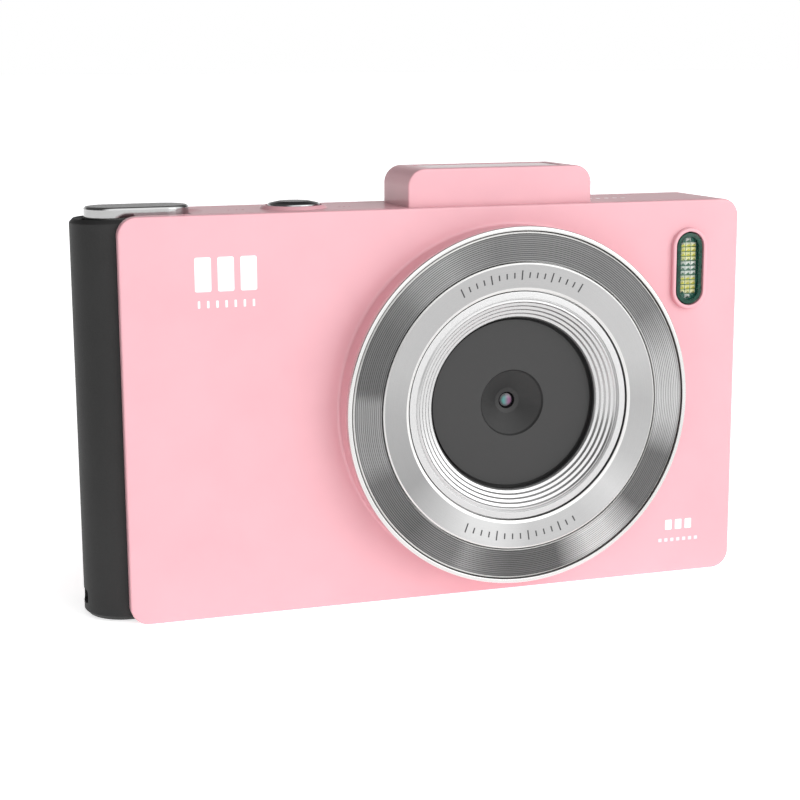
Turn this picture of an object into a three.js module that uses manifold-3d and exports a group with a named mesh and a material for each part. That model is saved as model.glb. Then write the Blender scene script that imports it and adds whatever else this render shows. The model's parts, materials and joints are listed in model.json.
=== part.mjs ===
// Compact digital camera, in millimetres.
// Working frame while modelling: x to the right seen from the front, y to the back, z up,
// with the front panel's face on y = 0 and its centre at x = z = 0.
// The finished group is shifted so that its origin is the middle of the base.
import * as THREE from "three";
import { mergeVertices } from "three/addons/utils/BufferGeometryUtils.js";
import Module from "manifold-3d";

const wasm = await Module();
wasm.setup();

// ---------- driving dimensions ----------
const GAP = 0.3;                  // between pieces that rest on or sit in one another
const WALL = 1.6;                 // moulded wall
const EPS = 0.5;                  // how far a cutter runs past the face it cuts

const PANEL_W = 101.7;            // front panel
const PANEL_H = 62.4;
const PANEL_R = 2.9;
const PANEL_T = 1.7;
const PANEL_FILLET = 0.6;
const HALF_W = PANEL_W / 2;
const HALF_H = PANEL_H / 2;

const BODY_D = 17.4;              // front panel face to rear panel face
const REAR_T = 2.1;
const REAR_FILLET = 1.0;
const FRAME_FRONT = PANEL_T + GAP;
const FRAME_BACK = BODY_D - REAR_T - GAP;
const FRAME_MID = (FRAME_FRONT + FRAME_BACK) / 2;

const GRIP_R = (FRAME_BACK - FRAME_FRONT) / 2;   // half-round grip at the left end
const GRIP_X = -50.25;
const GRIP_TOP = HALF_H - 0.4;
const GRIP_BOTTOM = -HALF_H + 0.3;
const GRIP_CHAMFER = 0.7;
const SPLIT_X = -47.5;            // where the grip cover meets the pink frame

const HUMP_W = 30.8;              // raised box above the lens
const HUMP_X = 10.0;
const HUMP_TOP = 37.1;
const HUMP_R = 2.8;
const HUMP_BACK_R = 1.2;
const HUMP_FILLET = 0.6;

const LENS_X = 10.82;             // lens axis
const LENS_Z = -0.1;
const LENS_FRONT = 5.66;          // how far the rim stands out of the panel
const RIM_R = 28.53;
const LENS_SEGS = 56;

const SHUTTER = { x: -46.6, y: 8.5, length: 15.9, width: 8.2, top: 32.3, travel: 1.0 };
const POWER = { x: -22.1, y: 8.4, r: 4.1, top: 32.35, travel: 0.5 };
const BUTTON_GAP = 0.4;
const FLANGE = 0.7;               // how far a button's flange reaches past its hole
const FLANGE_T = 0.8;

const FLASH = { x: 41.95, z: 20.1, width: 4.45, height: 11.6, rim: 0.85, proud: 0.8 };
const PANE = { sunk: 0.2, t: 0.25 };                                // clear pane in the rim
const FACETS = { columns: 3, rows: 11, pitch: 1.02, height: 0.4 };  // mirror facets behind it

const KEY = { x: -35, z: -2, pitch: 8.2, r: 2.8, proud: 0.5, travel: 0.4 };
const LCD = { x: 15, z: 0, width: 62, height: 47 };

const BATTERY = { x: -29.9, width: 31.2, front: 3.6, depth: 5.8, bottom: -29.2, height: 47 };
const BOARD_FRONT = 10.8;         // main circuit board
const BOARD_T = 1.0;
const BOARD_POSTS = [[33, 26.5], [-10, 26.5], [33, -26.5]];
const POST_R = 2.0;               // screw posts and the threads cut in them
const THREAD_R = 1.1;
const BOSS_OUT_R = 2.9;
const HEAD_WELL_R = 2.1;

// ---------- shape helpers ----------
function roundedRect(cx, cy, width, height, r) {
  const x0 = cx - width / 2;
  const x1 = cx + width / 2;
  const y0 = cy - height / 2;
  const y1 = cy + height / 2;
  const s = new THREE.Shape();
  s.moveTo(x0 + r, y0);
  s.lineTo(x1 - r, y0);
  s.absarc(x1 - r, y0 + r, r, -Math.PI / 2, 0, false);
  s.lineTo(x1, y1 - r);
  s.absarc(x1 - r, y1 - r, r, 0, Math.PI / 2, false);
  s.lineTo(x0 + r, y1);
  s.absarc(x0 + r, y1 - r, r, Math.PI / 2, Math.PI, false);
  s.lineTo(x0, y0 + r);
  s.absarc(x0 + r, y0 + r, r, Math.PI, Math.PI * 1.5, false);
  return s;
}

// A rectangle whose right-hand corners alone are rounded.
function rightRounded(x0, x1, y0, y1, r) {
  const s = new THREE.Shape();
  s.moveTo(x0, y0);
  s.lineTo(x1 - r, y0);
  s.absarc(x1 - r, y0 + r, r, -Math.PI / 2, 0, false);
  s.lineTo(x1, y1 - r);
  s.absarc(x1 - r, y1 - r, r, 0, Math.PI / 2, false);
  s.lineTo(x0, y1);
  s.lineTo(x0, y0);
  return s;
}

// Two half circles joined by straight sides, along the first axis or along the second.
function stadium(cx, cy, length, width, upright = false) {
  const r = width / 2;
  const reach = (length - width) / 2;
  const [dx, dy] = upright ? [0, reach] : [reach, 0];
  const start = upright ? 0 : -Math.PI / 2;
  const s = new THREE.Shape();
  s.absarc(cx + dx, cy + dy, r, start, start + Math.PI, false);
  s.absarc(cx - dx, cy - dy, r, start + Math.PI, start + 2 * Math.PI, false);
  return s;
}

// Half-round section of the grip, seen from above: round at -x, flat at x = xEnd.
function gripSection(r, xEnd) {
  const s = new THREE.Shape();
  s.moveTo(xEnd, FRAME_MID - r);
  s.lineTo(xEnd, FRAME_MID + r);
  s.lineTo(GRIP_X, FRAME_MID + r);
  s.absarc(GRIP_X, FRAME_MID, r, Math.PI / 2, Math.PI * 1.5, false);
  return s;
}

function extrude(shape, depth, bevel = 0, segs = 6, bevelSegs = 3) {
  return new THREE.ExtrudeGeometry(shape, {
    depth: depth - 2 * bevel,
    bevelEnabled: bevel > 0,
    bevelThickness: bevel,
    bevelSize: bevel,
    bevelOffset: -bevel,
    bevelSegments: bevelSegs,
    curveSegments: segs,
  }).translate(0, 0, bevel);
}

// Solid with its outline in plan (x, y), from z0 up to z1.
function slabZ(shape, z0, z1, bevel = 0, segs = 6, bevelSegs = 3) {
  return solid(extrude(shape, z1 - z0, bevel, segs, bevelSegs).translate(0, 0, z0));
}

// Solid with its outline in the front view (x, z), from y0 back to y1.
function slabY(shape, y0, y1, bevel = 0, segs = 6, bevelSegs = 3) {
  const g = extrude(shape, y1 - y0, bevel, segs, bevelSegs);
  return solid(g.rotateX(Math.PI / 2).translate(0, y1, 0));
}

function box(x0, x1, y0, y1, z0, z1) {
  const g = new THREE.BoxGeometry(x1 - x0, y1 - y0, z1 - z0);
  return solid(g.translate((x0 + x1) / 2, (y0 + y1) / 2, (z0 + z1) / 2));
}

// Turned solid. The profile is a list of [radius, distance along the axis].
function turned(profile, segs) {
  const closesOnAxis = profile[0][0] === 0 && profile[profile.length - 1][0] === 0;
  const points = profile.map(([r, h]) => new THREE.Vector2(r, h));
  if (!closesOnAxis) {
    points.push(points[0].clone());
  }
  return new THREE.LatheGeometry(points, segs);
}

// Turned about the lens axis; distances count forwards from the panel face.
function turnedOnLens(profile, segs = LENS_SEGS) {
  return solid(turned(profile, segs).rotateX(Math.PI).translate(LENS_X, 0, LENS_Z));
}

// Turned about an upright axis; distances are heights.
function turnedUp(profile, x, y, segs = 32) {
  return solid(turned(profile, segs).rotateX(Math.PI / 2).translate(x, y, 0));
}

// Turned about an axis running to the back; distances are depths.
function turnedBack(profile, x, z, segs = 24) {
  return solid(turned(profile, segs).translate(x, 0, z));
}

// Turned about an axis running to the right; distances are x.
function turnedRight(profile, y, z, segs = 24) {
  return solid(turned(profile, segs).rotateZ(-Math.PI / 2).translate(0, y, z));
}

function rod(r, h0, h1) {
  return [[0, h0], [r, h0], [r, h1], [0, h1]];
}

function signedVolume(points, triangles) {
  const [a, b, c] = [new THREE.Vector3(), new THREE.Vector3(), new THREE.Vector3()];
  let total = 0;
  for (let i = 0; i < triangles.length; i += 3) {
    a.fromArray(points, 3 * triangles[i]);
    b.fromArray(points, 3 * triangles[i + 1]);
    c.fromArray(points, 3 * triangles[i + 2]);
    total += a.dot(b.cross(c));
  }
  return total / 6;
}

// A closed geometry as a solid. A profile drawn the other way round is turned right side out.
function solid(geometry) {
  const g = geometry.clone();
  g.deleteAttribute("normal");
  g.deleteAttribute("uv");
  const m = mergeVertices(g, 1e-5);
  const vertProperties = Float32Array.from(m.attributes.position.array);
  const triVerts = Uint32Array.from(m.index.array);
  if (signedVolume(vertProperties, triVerts) < 0) {
    for (let i = 0; i < triVerts.length; i += 3) {
      [triVerts[i], triVerts[i + 1]] = [triVerts[i + 1], triVerts[i]];
    }
  }
  return new wasm.Manifold(new wasm.Mesh({ numProp: 3, vertProperties, triVerts }));
}

// ---------- materials ----------
function material(name, colour, roughness, metalness) {
  return () => new THREE.MeshStandardMaterial({ name, color: colour, roughness, metalness });
}
const pink = material("pink_shell", 0xf6c3cb, 0.45, 0);
const black = material("black_grip", 0x38383a, 0.5, 0);
const chrome = material("chrome", 0xd9d9dc, 0.12, 1);
const turnedMetal = material("turned_metal", 0x9c9c9e, 0.3, 1);
const satinMetal = material("satin_metal", 0xc6c6c6, 0.35, 1);
const lensBlack = material("lens_black", 0x4a4a4a, 0.6, 0);
const lensGlass = material("lens_glass", 0x39324a, 0.05, 0);
const clearPane = material("clear_pane", 0x2a4438, 0.08, 0);
const reflector = material("reflector", 0xe6e6c8, 0.25, 0.2);
const screenGlass = material("screen_glass", 0x14161a, 0.06, 0);
const board = material("circuit_board", 0x1f5a3c, 0.55, 0);
const darkPlastic = material("dark_plastic", 0x242426, 0.55, 0);
const keyGrey = material("key_grey", 0xd2d2d6, 0.35, 0);
const steel = material("steel", 0x9a9ca0, 0.35, 1);
const brass = material("brass", 0xb08d4a, 0.35, 1);
const silicone = material("silicone", 0xb9bcc0, 0.8, 0);
const batteryWrap = material("battery_wrap", 0x2c4f8a, 0.5, 0);

// ---------- assembly ----------
const camera = new THREE.Group();
camera.name = "compact_camera";

function add(name, shape, makeMaterial) {
  const m = shape.getMesh();
  const g = new THREE.BufferGeometry();
  g.setAttribute("position", new THREE.BufferAttribute(new Float32Array(m.vertProperties), 3));
  g.setIndex(new THREE.BufferAttribute(new Uint32Array(m.triVerts), 1));
  g.computeVertexNormals();
  const mesh = new THREE.Mesh(g, makeMaterial());
  mesh.name = name;
  camera.add(mesh);
}

function minus(base, ...cutters) {
  return cutters.reduce((shape, cutter) => shape.subtract(cutter), base);
}

function plus(base, ...others) {
  return others.reduce((shape, other) => shape.add(other), base);
}

// ---------- front cover: panel, lens base, flash rim ----------
const BASE_R = 28.3;              // wall of the lens base
const BASE_TOP = LENS_FRONT - 1.3;
const BASE_FOOT = 1.0;
const SEAT_R = 26.0;              // inner ring that carries the ribbed cone
const SEAT_TOP = 3.1;
const SEAT_WIDTH = 1.2;
const MOUTH_R = 8.6;              // opening for the lens boss
const RIM_SOFTNESS = 0.35;
const POST_THREAD_END = 6;

function flashSlab(grow, y0, y1, bevel = 0) {
  const outline = stadium(FLASH.x, FLASH.z, FLASH.height + 2 * grow, FLASH.width + 2 * grow, true);
  return slabY(outline, y0, y1, bevel, 8, 2);
}

function footFillet() {
  const points = [[BASE_R - WALL, -EPS], [BASE_R + BASE_FOOT, -EPS], [BASE_R + BASE_FOOT, 0]];
  const steps = 3;
  for (let i = 1; i <= steps; i += 1) {
    const a = (Math.PI / 2) * (i / steps);
    points.push([BASE_R + BASE_FOOT * (1 - Math.sin(a)), BASE_FOOT * (1 - Math.cos(a))]);
  }
  points.push([BASE_R, BASE_TOP], [BASE_R - WALL, BASE_TOP]);
  return turnedOnLens(points);
}

function frontCover() {
  const outline = roundedRect(0, 0, PANEL_W, PANEL_H, PANEL_R);
  const thick = slabY(outline, 0, PANEL_T + 2, PANEL_FILLET);
  const behind = box(-HALF_W - 1, HALF_W + 1, PANEL_T, PANEL_T + 4, -HALF_H - 1, HALF_H + 1);
  let cover = minus(thick, behind);
  cover = plus(
    cover,
    footFillet(),
    turnedOnLens([
      [SEAT_R - SEAT_WIDTH, -EPS], [SEAT_R, -EPS], [SEAT_R, SEAT_TOP], [SEAT_R - SEAT_WIDTH, SEAT_TOP],
    ]),
    flashSlab(FLASH.rim, -FLASH.proud, PANEL_T, RIM_SOFTNESS));
  const posts = BOARD_POSTS.map(([x, z]) => (
    turnedBack(rod(POST_R, PANEL_T - EPS, BOARD_FRONT - GAP), x, z, 12)));
  const threads = BOARD_POSTS.map(([x, z]) => (
    turnedBack(rod(THREAD_R, POST_THREAD_END, BOARD_FRONT), x, z, 10)));
  cover = plus(cover, ...posts);
  return minus(
    cover,
    ...threads,
    turnedOnLens(rod(MOUTH_R, -PANEL_T - EPS, 1)),
    flashSlab(GAP - 0.1, -FLASH.proud - EPS, PANEL_T + EPS));
}

add("front_cover", frontCover(), pink);

// ---------- lens rings ----------
const RING_BACK = 4.5;
const RIM_WIDTH = 0.6;
const CONE_CARRIER_R = SEAT_R + 0.4;   // edge of the cone's flange, which the outer ring steps over
add("rim_ring", turnedOnLens([
  [RIM_R - RIM_WIDTH, BASE_TOP + GAP], [RIM_R, BASE_TOP + GAP], [RIM_R, LENS_FRONT - 0.25],
  [RIM_R - 0.2, LENS_FRONT], [RIM_R - RIM_WIDTH, LENS_FRONT],
]), chrome);

const TURNED_IN = 23.03;
const TURNED_OUT = 27.66;
function turnedRing() {
  const front = 5.5;
  const grooves = 3;
  const grooveDepth = 0.06;
  const margin = 0.25;
  const pitch = (TURNED_OUT - TURNED_IN - 2 * margin) / grooves;
  const points = [[TURNED_OUT, BASE_TOP + GAP], [TURNED_OUT, front]];
  for (let i = 0; i < grooves; i += 1) {
    const r = TURNED_OUT - margin - i * pitch;
    points.push([r, front], [r - pitch / 2, front - grooveDepth]);
  }
  points.push([TURNED_IN, front], [TURNED_IN, RING_BACK]);
  points.push([CONE_CARRIER_R, RING_BACK], [CONE_CARRIER_R, BASE_TOP + GAP]);
  return turnedOnLens(points);
}
add("turned_ring", turnedRing(), turnedMetal);

const FLAT_OUT = TURNED_IN - 0.28;
const FLAT_IN = 18.45;
const DISH_HIGH = 5.55;           // the flat ring's face dips towards the lens
const DISH_LOW = DISH_HIGH - 0.7;
add("flat_ring", turnedOnLens([
  [FLAT_OUT, RING_BACK], [FLAT_OUT, DISH_HIGH - 0.2], [FLAT_OUT - 0.2, DISH_HIGH],
  [FLAT_IN + 0.45, DISH_LOW], [FLAT_IN, DISH_LOW - 0.1], [FLAT_IN, RING_BACK],
]), satinMetal);

const CONE_IN = 13.86;
const CONE_OUT = 17.05;
function ribbedCone() {
  const ribs = 5;
  const back = 1.5;
  const foot = 2.09;
  const top = 4.36;
  const landEdge = FLAT_IN - GAP;  // the cone's flat land ends just inside the flat ring
  const flangeTop = 4.2;
  const dr = (CONE_OUT - CONE_IN) / ribs;
  const dh = (top - foot) / ribs;
  const points = [[CONE_IN, back]];
  for (let i = 0; i < ribs; i += 1) {
    points.push([CONE_IN + i * dr, foot + i * dh]);
    points.push([CONE_IN + i * dr + 0.16, foot + (i + 1) * dh]);
  }
  points.push([landEdge - 0.15, top], [landEdge, flangeTop]);
  points.push([CONE_CARRIER_R, flangeTop], [CONE_CARRIER_R, SEAT_TOP + GAP]);
  points.push([CONE_OUT + 0.35, SEAT_TOP + GAP], [CONE_IN + 1.44, back]);
  return turnedOnLens(points);
}
add("ribbed_cone", ribbedCone(), satinMetal);

// ---------- lens ----------
const PLATE_FRONT = 1.2;
const PLATE_R = 14.6;
const BOSS_R = 8.2;
const EYE_R = 5.36;
const PUPIL_R = 1.35;
const BOSS_BACK = -2.4;
const PUPIL_FRONT = -1.3;
add("lens_plate", turnedOnLens([
  [PUPIL_R, BOSS_BACK], [BOSS_R, BOSS_BACK], [BOSS_R, GAP], [PLATE_R, GAP], [PLATE_R, PLATE_FRONT],
  [EYE_R, PLATE_FRONT], [EYE_R - 0.25, PLATE_FRONT - 0.35],
  [PUPIL_R + 0.7, PUPIL_FRONT + 0.2], [PUPIL_R, PUPIL_FRONT],
], 48), lensBlack);

const GLASS_R = PUPIL_R - 0.1;
const GLASS_BACK = BOSS_BACK + 0.1;
const GLASS_FRONT = -1.38;
add("lens_glass", turnedOnLens([
  [0, GLASS_BACK], [GLASS_R, GLASS_BACK], [GLASS_R, GLASS_FRONT - 0.37],
  [GLASS_R * 0.8, GLASS_FRONT - 0.17], [GLASS_R * 0.4, GLASS_FRONT - 0.04], [0, GLASS_FRONT],
], 24), lensGlass);

const BARREL = { bore: 0.9, r: 2.8, footR: 3.6, footT: 1.6, front: -2.7, back: -6.2 };
add("lens_barrel", turnedOnLens([
  [BARREL.bore, BARREL.front], [BARREL.bore, BARREL.back], [BARREL.footR, BARREL.back],
  [BARREL.footR, BARREL.back + BARREL.footT], [BARREL.r, BARREL.back + BARREL.footT],
  [BARREL.r, BARREL.front],
], 24), darkPlastic);

const SENSOR = { halfW: 7, halfH: 5.5, front: 6.5, t: 1.1, hole: 0.7, holeX: 6, holeZ: 4.5 };
function sensorBoard() {
  const plate = box(
    LENS_X - SENSOR.halfW, LENS_X + SENSOR.halfW, SENSOR.front, SENSOR.front + SENSOR.t,
    LENS_Z - SENSOR.halfH, LENS_Z + SENSOR.halfH);
  const bore = rod(SENSOR.hole, SENSOR.front - EPS, SENSOR.front + SENSOR.t + EPS);
  const holes = [-1, 1].map((side) => (
    turnedBack(bore, LENS_X + side * SENSOR.holeX, LENS_Z + side * SENSOR.holeZ, 12)));
  return minus(plate, ...holes);
}
add("sensor_board", sensorBoard(), board);

// ---------- flash ----------
const PANE_FRONT = -FLASH.proud + PANE.sunk;
add("flash_window", flashSlab(0, PANE_FRONT, PANE_FRONT + PANE.t, 0.1), clearPane);

const REFLECTOR_BACK = PANEL_T + 1.2;
function flashReflector() {
  const inset = -0.25;
  const sink = 0.1;                // how far the facets' feet reach into the block
  const tips = PANE_FRONT + PANE.t + 0.15;
  const bed = tips + FACETS.height;
  const within = flashSlab(inset, tips, REFLECTOR_BACK);
  const cell = new THREE.ConeGeometry(FACETS.pitch * 0.62, FACETS.height + sink, 4, 1)
    .rotateY(Math.PI / 4)
    .rotateX(Math.PI);
  let block = flashSlab(inset, bed, REFLECTOR_BACK);
  for (let c = 0; c < FACETS.columns; c += 1) {
    for (let r = 0; r < FACETS.rows; r += 1) {
      const x = FLASH.x + (c - (FACETS.columns - 1) / 2) * FACETS.pitch * 1.1;
      const z = FLASH.z + (r - (FACETS.rows - 1) / 2) * FACETS.pitch;
      const middle = bed - (FACETS.height - sink) / 2;
      block = block.add(solid(cell.clone().translate(x, middle, z)));
    }
  }
  return block.intersect(within);
}
add("flash_reflector", flashReflector(), reflector);

const FLASH_BOARD = { halfW: 3.2, halfH: 6.5, front: REFLECTOR_BACK + 0.4, t: 1.0 };
add("flash_board", box(
  FLASH.x - FLASH_BOARD.halfW, FLASH.x + FLASH_BOARD.halfW,
  FLASH_BOARD.front, FLASH_BOARD.front + FLASH_BOARD.t,
  FLASH.z - FLASH_BOARD.halfH, FLASH.z + FLASH_BOARD.halfH), board);

// ---------- shutter and power button openings, cut from the frame and the grip ----------
function shutterOutline(grow) {
  return stadium(SHUTTER.x, SHUTTER.y, SHUTTER.length + 2 * grow, SHUTTER.width + 2 * grow);
}

// Shallow dish around the shutter button, with a straight well through the wall below it.
function shutterWell(surface) {
  const slope = 1.8;
  const sink = 0.35;
  const dish = new THREE.ExtrudeGeometry(shutterOutline(BUTTON_GAP), {
    depth: 3, bevelEnabled: true, bevelThickness: sink, bevelSize: slope, bevelSegments: 1, curveSegments: 8,
  });
  const well = slabZ(shutterOutline(BUTTON_GAP), surface - WALL - 4, surface + 1, 0, 8);
  return solid(dish.translate(0, 0, surface)).add(well);
}

// ---------- pink frame: top with hump, right side, bottom ----------
const FRAME_X0 = SPLIT_X + GAP / 2;
const HINGE = { x: -12.7, z: -30.1, r: 1.0, pin: 0.5, front: 3.2, back: 9.8 };
const DOOR = { x0: -45.0, front: 3.2, back: 9.8, bottom: -31.05, top: -29.85 };
const DOOR_TOP_CLEAR = -28;        // top of the opening over the door
const EAR = { halfW: 1.6, top: -28.4, backT: 1.2 };
const BOTTOM_SCREWS = [[-4, 8.5], [43, 8.5]];
const BOTTOM_BOSS_TOP = -26.5;
const BOTTOM_SHOULDER = -29.9;    // where the screws' heads rest
const SIDE_SCREWS = [[7.2, 24], [7.2, -25]];
const SIDE_BOSS_END = 46.2;
const SIDE_SHOULDER = 49.5;
const TRIPOD = { x: 10.8, y: 7.5, r: 4.0, boreR: 2.6, top: -26.5 };
const USB = { y: 7.2, z: -14, width: 9.4, height: 3.6 };
const CARD = { y: 7.4, z: 3, width: 11.0, thickness: 0.8, slot: 1.4 };
const SIDE_SLOT_FROM = 46;
const MIC = { x: -14.2, r: 2.0 };
const SPEAKER = { x: -32.3, y: 6.9, r: 4.2 };
const MIC_HOLES = [-0.8, 0, 0.8].map((dx) => MIC.x + dx);
const SPEAKER_HOLES = [-0.4, 0.9, 1.9].map((dx) => SPEAKER.x + dx);
const SOUND_HOLE_R = 0.28;
const TOP_HOLE_Y = 7.5;
const TRIPOD_BOSS_R = 5.2;
const POWER_RING = { r: 5.3, topR: 4.75, height: 0.5 };

function hump(inset) {
  const y0 = FRAME_FRONT + inset;
  const y1 = FRAME_BACK - inset;
  const w = HUMP_W - 2 * inset;
  const foot = 25;                 // well inside the frame, below the top wall
  const top = HUMP_TOP - inset;
  const front = slabY(
    roundedRect(HUMP_X, (top + foot) / 2, w, top - foot, HUMP_R - inset / 2), y0, y1,
    inset > 0 ? 0 : HUMP_FILLET);
  const depth = 30;                // runs far past the front, so only the rear corners are rounded
  const plan = slabZ(
    roundedRect(HUMP_X, y1 - depth / 2, w, depth, Math.max(0.4, HUMP_BACK_R - inset / 2)),
    foot - 5, top + 1);
  return front.intersect(plan);
}

const PLATE_X0 = -1.1;
const HUMP_PLATE = { x0: PLATE_X0, x1: 2 * HUMP_X - PLATE_X0, y0: 4.6, y1: 12.6, t: 0.8, r: 0.8 };
function humpPlateOutline(grow) {
  const p = HUMP_PLATE;
  return roundedRect(
    (p.x0 + p.x1) / 2, (p.y0 + p.y1) / 2, p.x1 - p.x0 + 2 * grow, p.y1 - p.y0 + 2 * grow, p.r);
}

function midFrame() {
  const outer = slabY(rightRounded(FRAME_X0, HALF_W, -HALF_H, HALF_H, PANEL_R), FRAME_FRONT, FRAME_BACK);
  const inner = slabY(
    rightRounded(FRAME_X0 - 5, HALF_W - WALL, -HALF_H + WALL, HALF_H - WALL, PANEL_R - WALL / 2),
    FRAME_FRONT - 5, FRAME_BACK + 5);
  const powerRing = turnedUp([
    [0, HALF_H - EPS], [POWER_RING.r, HALF_H - EPS], [POWER_RING.r, HALF_H],
    [POWER_RING.topR, HALF_H + POWER_RING.height], [0, HALF_H + POWER_RING.height + 0.05],
  ], POWER.x, POWER.y, 32);
  let frame = minus(outer.add(hump(0)), hump(WALL), inner);
  const bosses = BOTTOM_SCREWS.map(([x, y]) => (
    turnedUp(rod(BOSS_OUT_R, -HALF_H + 1, BOTTOM_BOSS_TOP), x, y, 12)));
  const sideBosses = SIDE_SCREWS.map(([y, z]) => (
    turnedRight(rod(BOSS_OUT_R, SIDE_BOSS_END, HALF_W - 1), y, z, 12)));
  const ears = [
    [FRAME_FRONT, HINGE.front - GAP],
    [HINGE.back + GAP, HINGE.back + GAP + EAR.backT],
  ].map(([y0, y1]) => box(HINGE.x - EAR.halfW, HINGE.x + EAR.halfW, y0, y1, -HALF_H + 1, EAR.top));
  const tripodBoss = turnedUp(
    rod(TRIPOD_BOSS_R, -HALF_H + 1, TRIPOD.top + 1.5), TRIPOD.x, TRIPOD.y, 16);
  const plateShelf = slabZ(humpPlateOutline(0.9), HUMP_TOP - 2.4, HUMP_TOP - 0.5);
  frame = plus(frame, powerRing, plateShelf, tripodBoss, ...bosses, ...sideBosses, ...ears);
  const cuts = [
    shutterWell(HALF_H),
    turnedUp(rod(POWER.r + GAP, HALF_H - WALL - 1, POWER.top + 1), POWER.x, POWER.y, 32),
    slabZ(humpPlateOutline(GAP), HUMP_TOP - HUMP_PLATE.t - GAP, HUMP_TOP + 1),
    box(DOOR.x0 - GAP, HINGE.x + HINGE.r + GAP, DOOR.front - GAP, DOOR.back + GAP,
      -HALF_H - 1, DOOR_TOP_CLEAR),
    turnedBack(rod(HINGE.pin + GAP, FRAME_FRONT + 0.2, HINGE.back + 1.2), HINGE.x, HINGE.z, 16),
    turnedUp(rod(TRIPOD.r + GAP, -HALF_H - 1, TRIPOD.top + GAP), TRIPOD.x, TRIPOD.y, 20),
    box(SIDE_SLOT_FROM, HALF_W + 1, USB.y - USB.height / 2, USB.y + USB.height / 2,
      USB.z - USB.width / 2, USB.z + USB.width / 2),
    box(SIDE_SLOT_FROM, HALF_W + 1, CARD.y - CARD.slot / 2, CARD.y + CARD.slot / 2,
      CARD.z - CARD.width / 2 - GAP, CARD.z + CARD.width / 2 + GAP),
  ];
  for (const [x, y] of BOTTOM_SCREWS) {
    cuts.push(turnedUp([
      [0, -HALF_H - 1], [HEAD_WELL_R, -HALF_H - 1], [HEAD_WELL_R, BOTTOM_SHOULDER],
      [THREAD_R, BOTTOM_SHOULDER], [THREAD_R, BOTTOM_BOSS_TOP + EPS], [0, BOTTOM_BOSS_TOP + EPS],
    ], x, y, 16));
  }
  for (const [y, z] of SIDE_SCREWS) {
    cuts.push(turnedRight([
      [0, SIDE_BOSS_END - EPS], [THREAD_R, SIDE_BOSS_END - EPS], [THREAD_R, SIDE_SHOULDER],
      [HEAD_WELL_R, SIDE_SHOULDER], [HEAD_WELL_R, HALF_W + 1], [0, HALF_W + 1],
    ], y, z, 16));
  }
  for (const x of [...MIC_HOLES, ...SPEAKER_HOLES]) {
    cuts.push(turnedUp(rod(SOUND_HOLE_R, HALF_H - WALL - 1, HALF_H + 1), x, TOP_HOLE_Y, 6));
  }
  return minus(frame, ...cuts);
}
add("mid_frame", midFrame(), pink);
add("hump_plate", slabZ(
  humpPlateOutline(0), HUMP_TOP - HUMP_PLATE.t, HUMP_TOP - 0.05, 0.15, 3, 1), pink);

// ---------- grip ----------
const STRAP = { y0: 6.6, y1: 10.4, z0: -29.0, z1: -26.9, depth: 2.6 };
const STRAP_BLOCK = { from: 1.2, to: 5.2, halfY: 3.3, top: -24.9 };
const STRAP_BAR = { in: 1.5, r: 0.5, bottom: -29.9, top: -25.9 };
function gripCover() {
  const left = GRIP_X - GRIP_R;
  const whole = slabZ(gripSection(GRIP_R, SPLIT_X + 3), GRIP_BOTTOM, GRIP_TOP, GRIP_CHAMFER, 12, 2);
  const hollow = slabZ(gripSection(GRIP_R - WALL, SPLIT_X + 4), GRIP_BOTTOM + WALL, GRIP_TOP - WALL, 0, 10);
  const beyond = box(SPLIT_X - GAP / 2, SPLIT_X + 6, -5, 25, -40, 40);
  const strapBlock = box(
    left + STRAP_BLOCK.from, left + STRAP_BLOCK.to,
    FRAME_MID - STRAP_BLOCK.halfY, FRAME_MID + STRAP_BLOCK.halfY, GRIP_BOTTOM + 0.5, STRAP_BLOCK.top);
  const strapNotch = box(left - 1, left + STRAP.depth, STRAP.y0, STRAP.y1, STRAP.z0, STRAP.z1);
  const barHole = turnedUp(
    rod(STRAP_BAR.r + GAP, STRAP_BAR.bottom - GAP, STRAP_BAR.top + GAP), left + STRAP_BAR.in, FRAME_MID, 12);
  return minus(
    minus(whole, hollow).add(strapBlock), beyond, strapNotch, barHole, shutterWell(GRIP_TOP));
}
add("grip_cover", gripCover(), black);
add("strap_bar", turnedUp(
  rod(STRAP_BAR.r, STRAP_BAR.bottom, STRAP_BAR.top), GRIP_X - GRIP_R + STRAP_BAR.in, FRAME_MID, 12), steel);

// ---------- top buttons ----------
const FLANGE_TOP = GRIP_TOP - WALL - GAP;
function shutterButton() {
  const cap = slabZ(shutterOutline(0), FLANGE_TOP - 0.3, SHUTTER.top, 0.3, 8, 2);
  const tabReach = 0.5;
  const tabs = stadium(SHUTTER.x, SHUTTER.y, SHUTTER.length + 2 * tabReach, SHUTTER.width / 2);
  return cap.add(slabZ(tabs, FLANGE_TOP - FLANGE_T, FLANGE_TOP, 0, 4));
}
add("shutter_button", shutterButton(), chrome);
add("power_button", turnedUp([
  [0, FLANGE_TOP - FLANGE_T], [POWER.r + FLANGE, FLANGE_TOP - FLANGE_T], [POWER.r + FLANGE, FLANGE_TOP],
  [POWER.r, FLANGE_TOP], [POWER.r, POWER.top - 0.5], [POWER.r - 0.3, POWER.top - 0.25],
  [POWER.r * 0.6, POWER.top - 0.1],
  [0, POWER.top],
], POWER.x, POWER.y, 28), chrome);

const TOP_BOARD = { x0: -52, x1: -17.5, y0: 4.2, y1: 10.4, z0: 23.8, z1: 24.8 };
const SWITCH = { halfX: 2.2, y0: 6.3, y1: 10.0, height: 1.3, plungerR: 1.2, plungerY: 8.2 };
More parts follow.
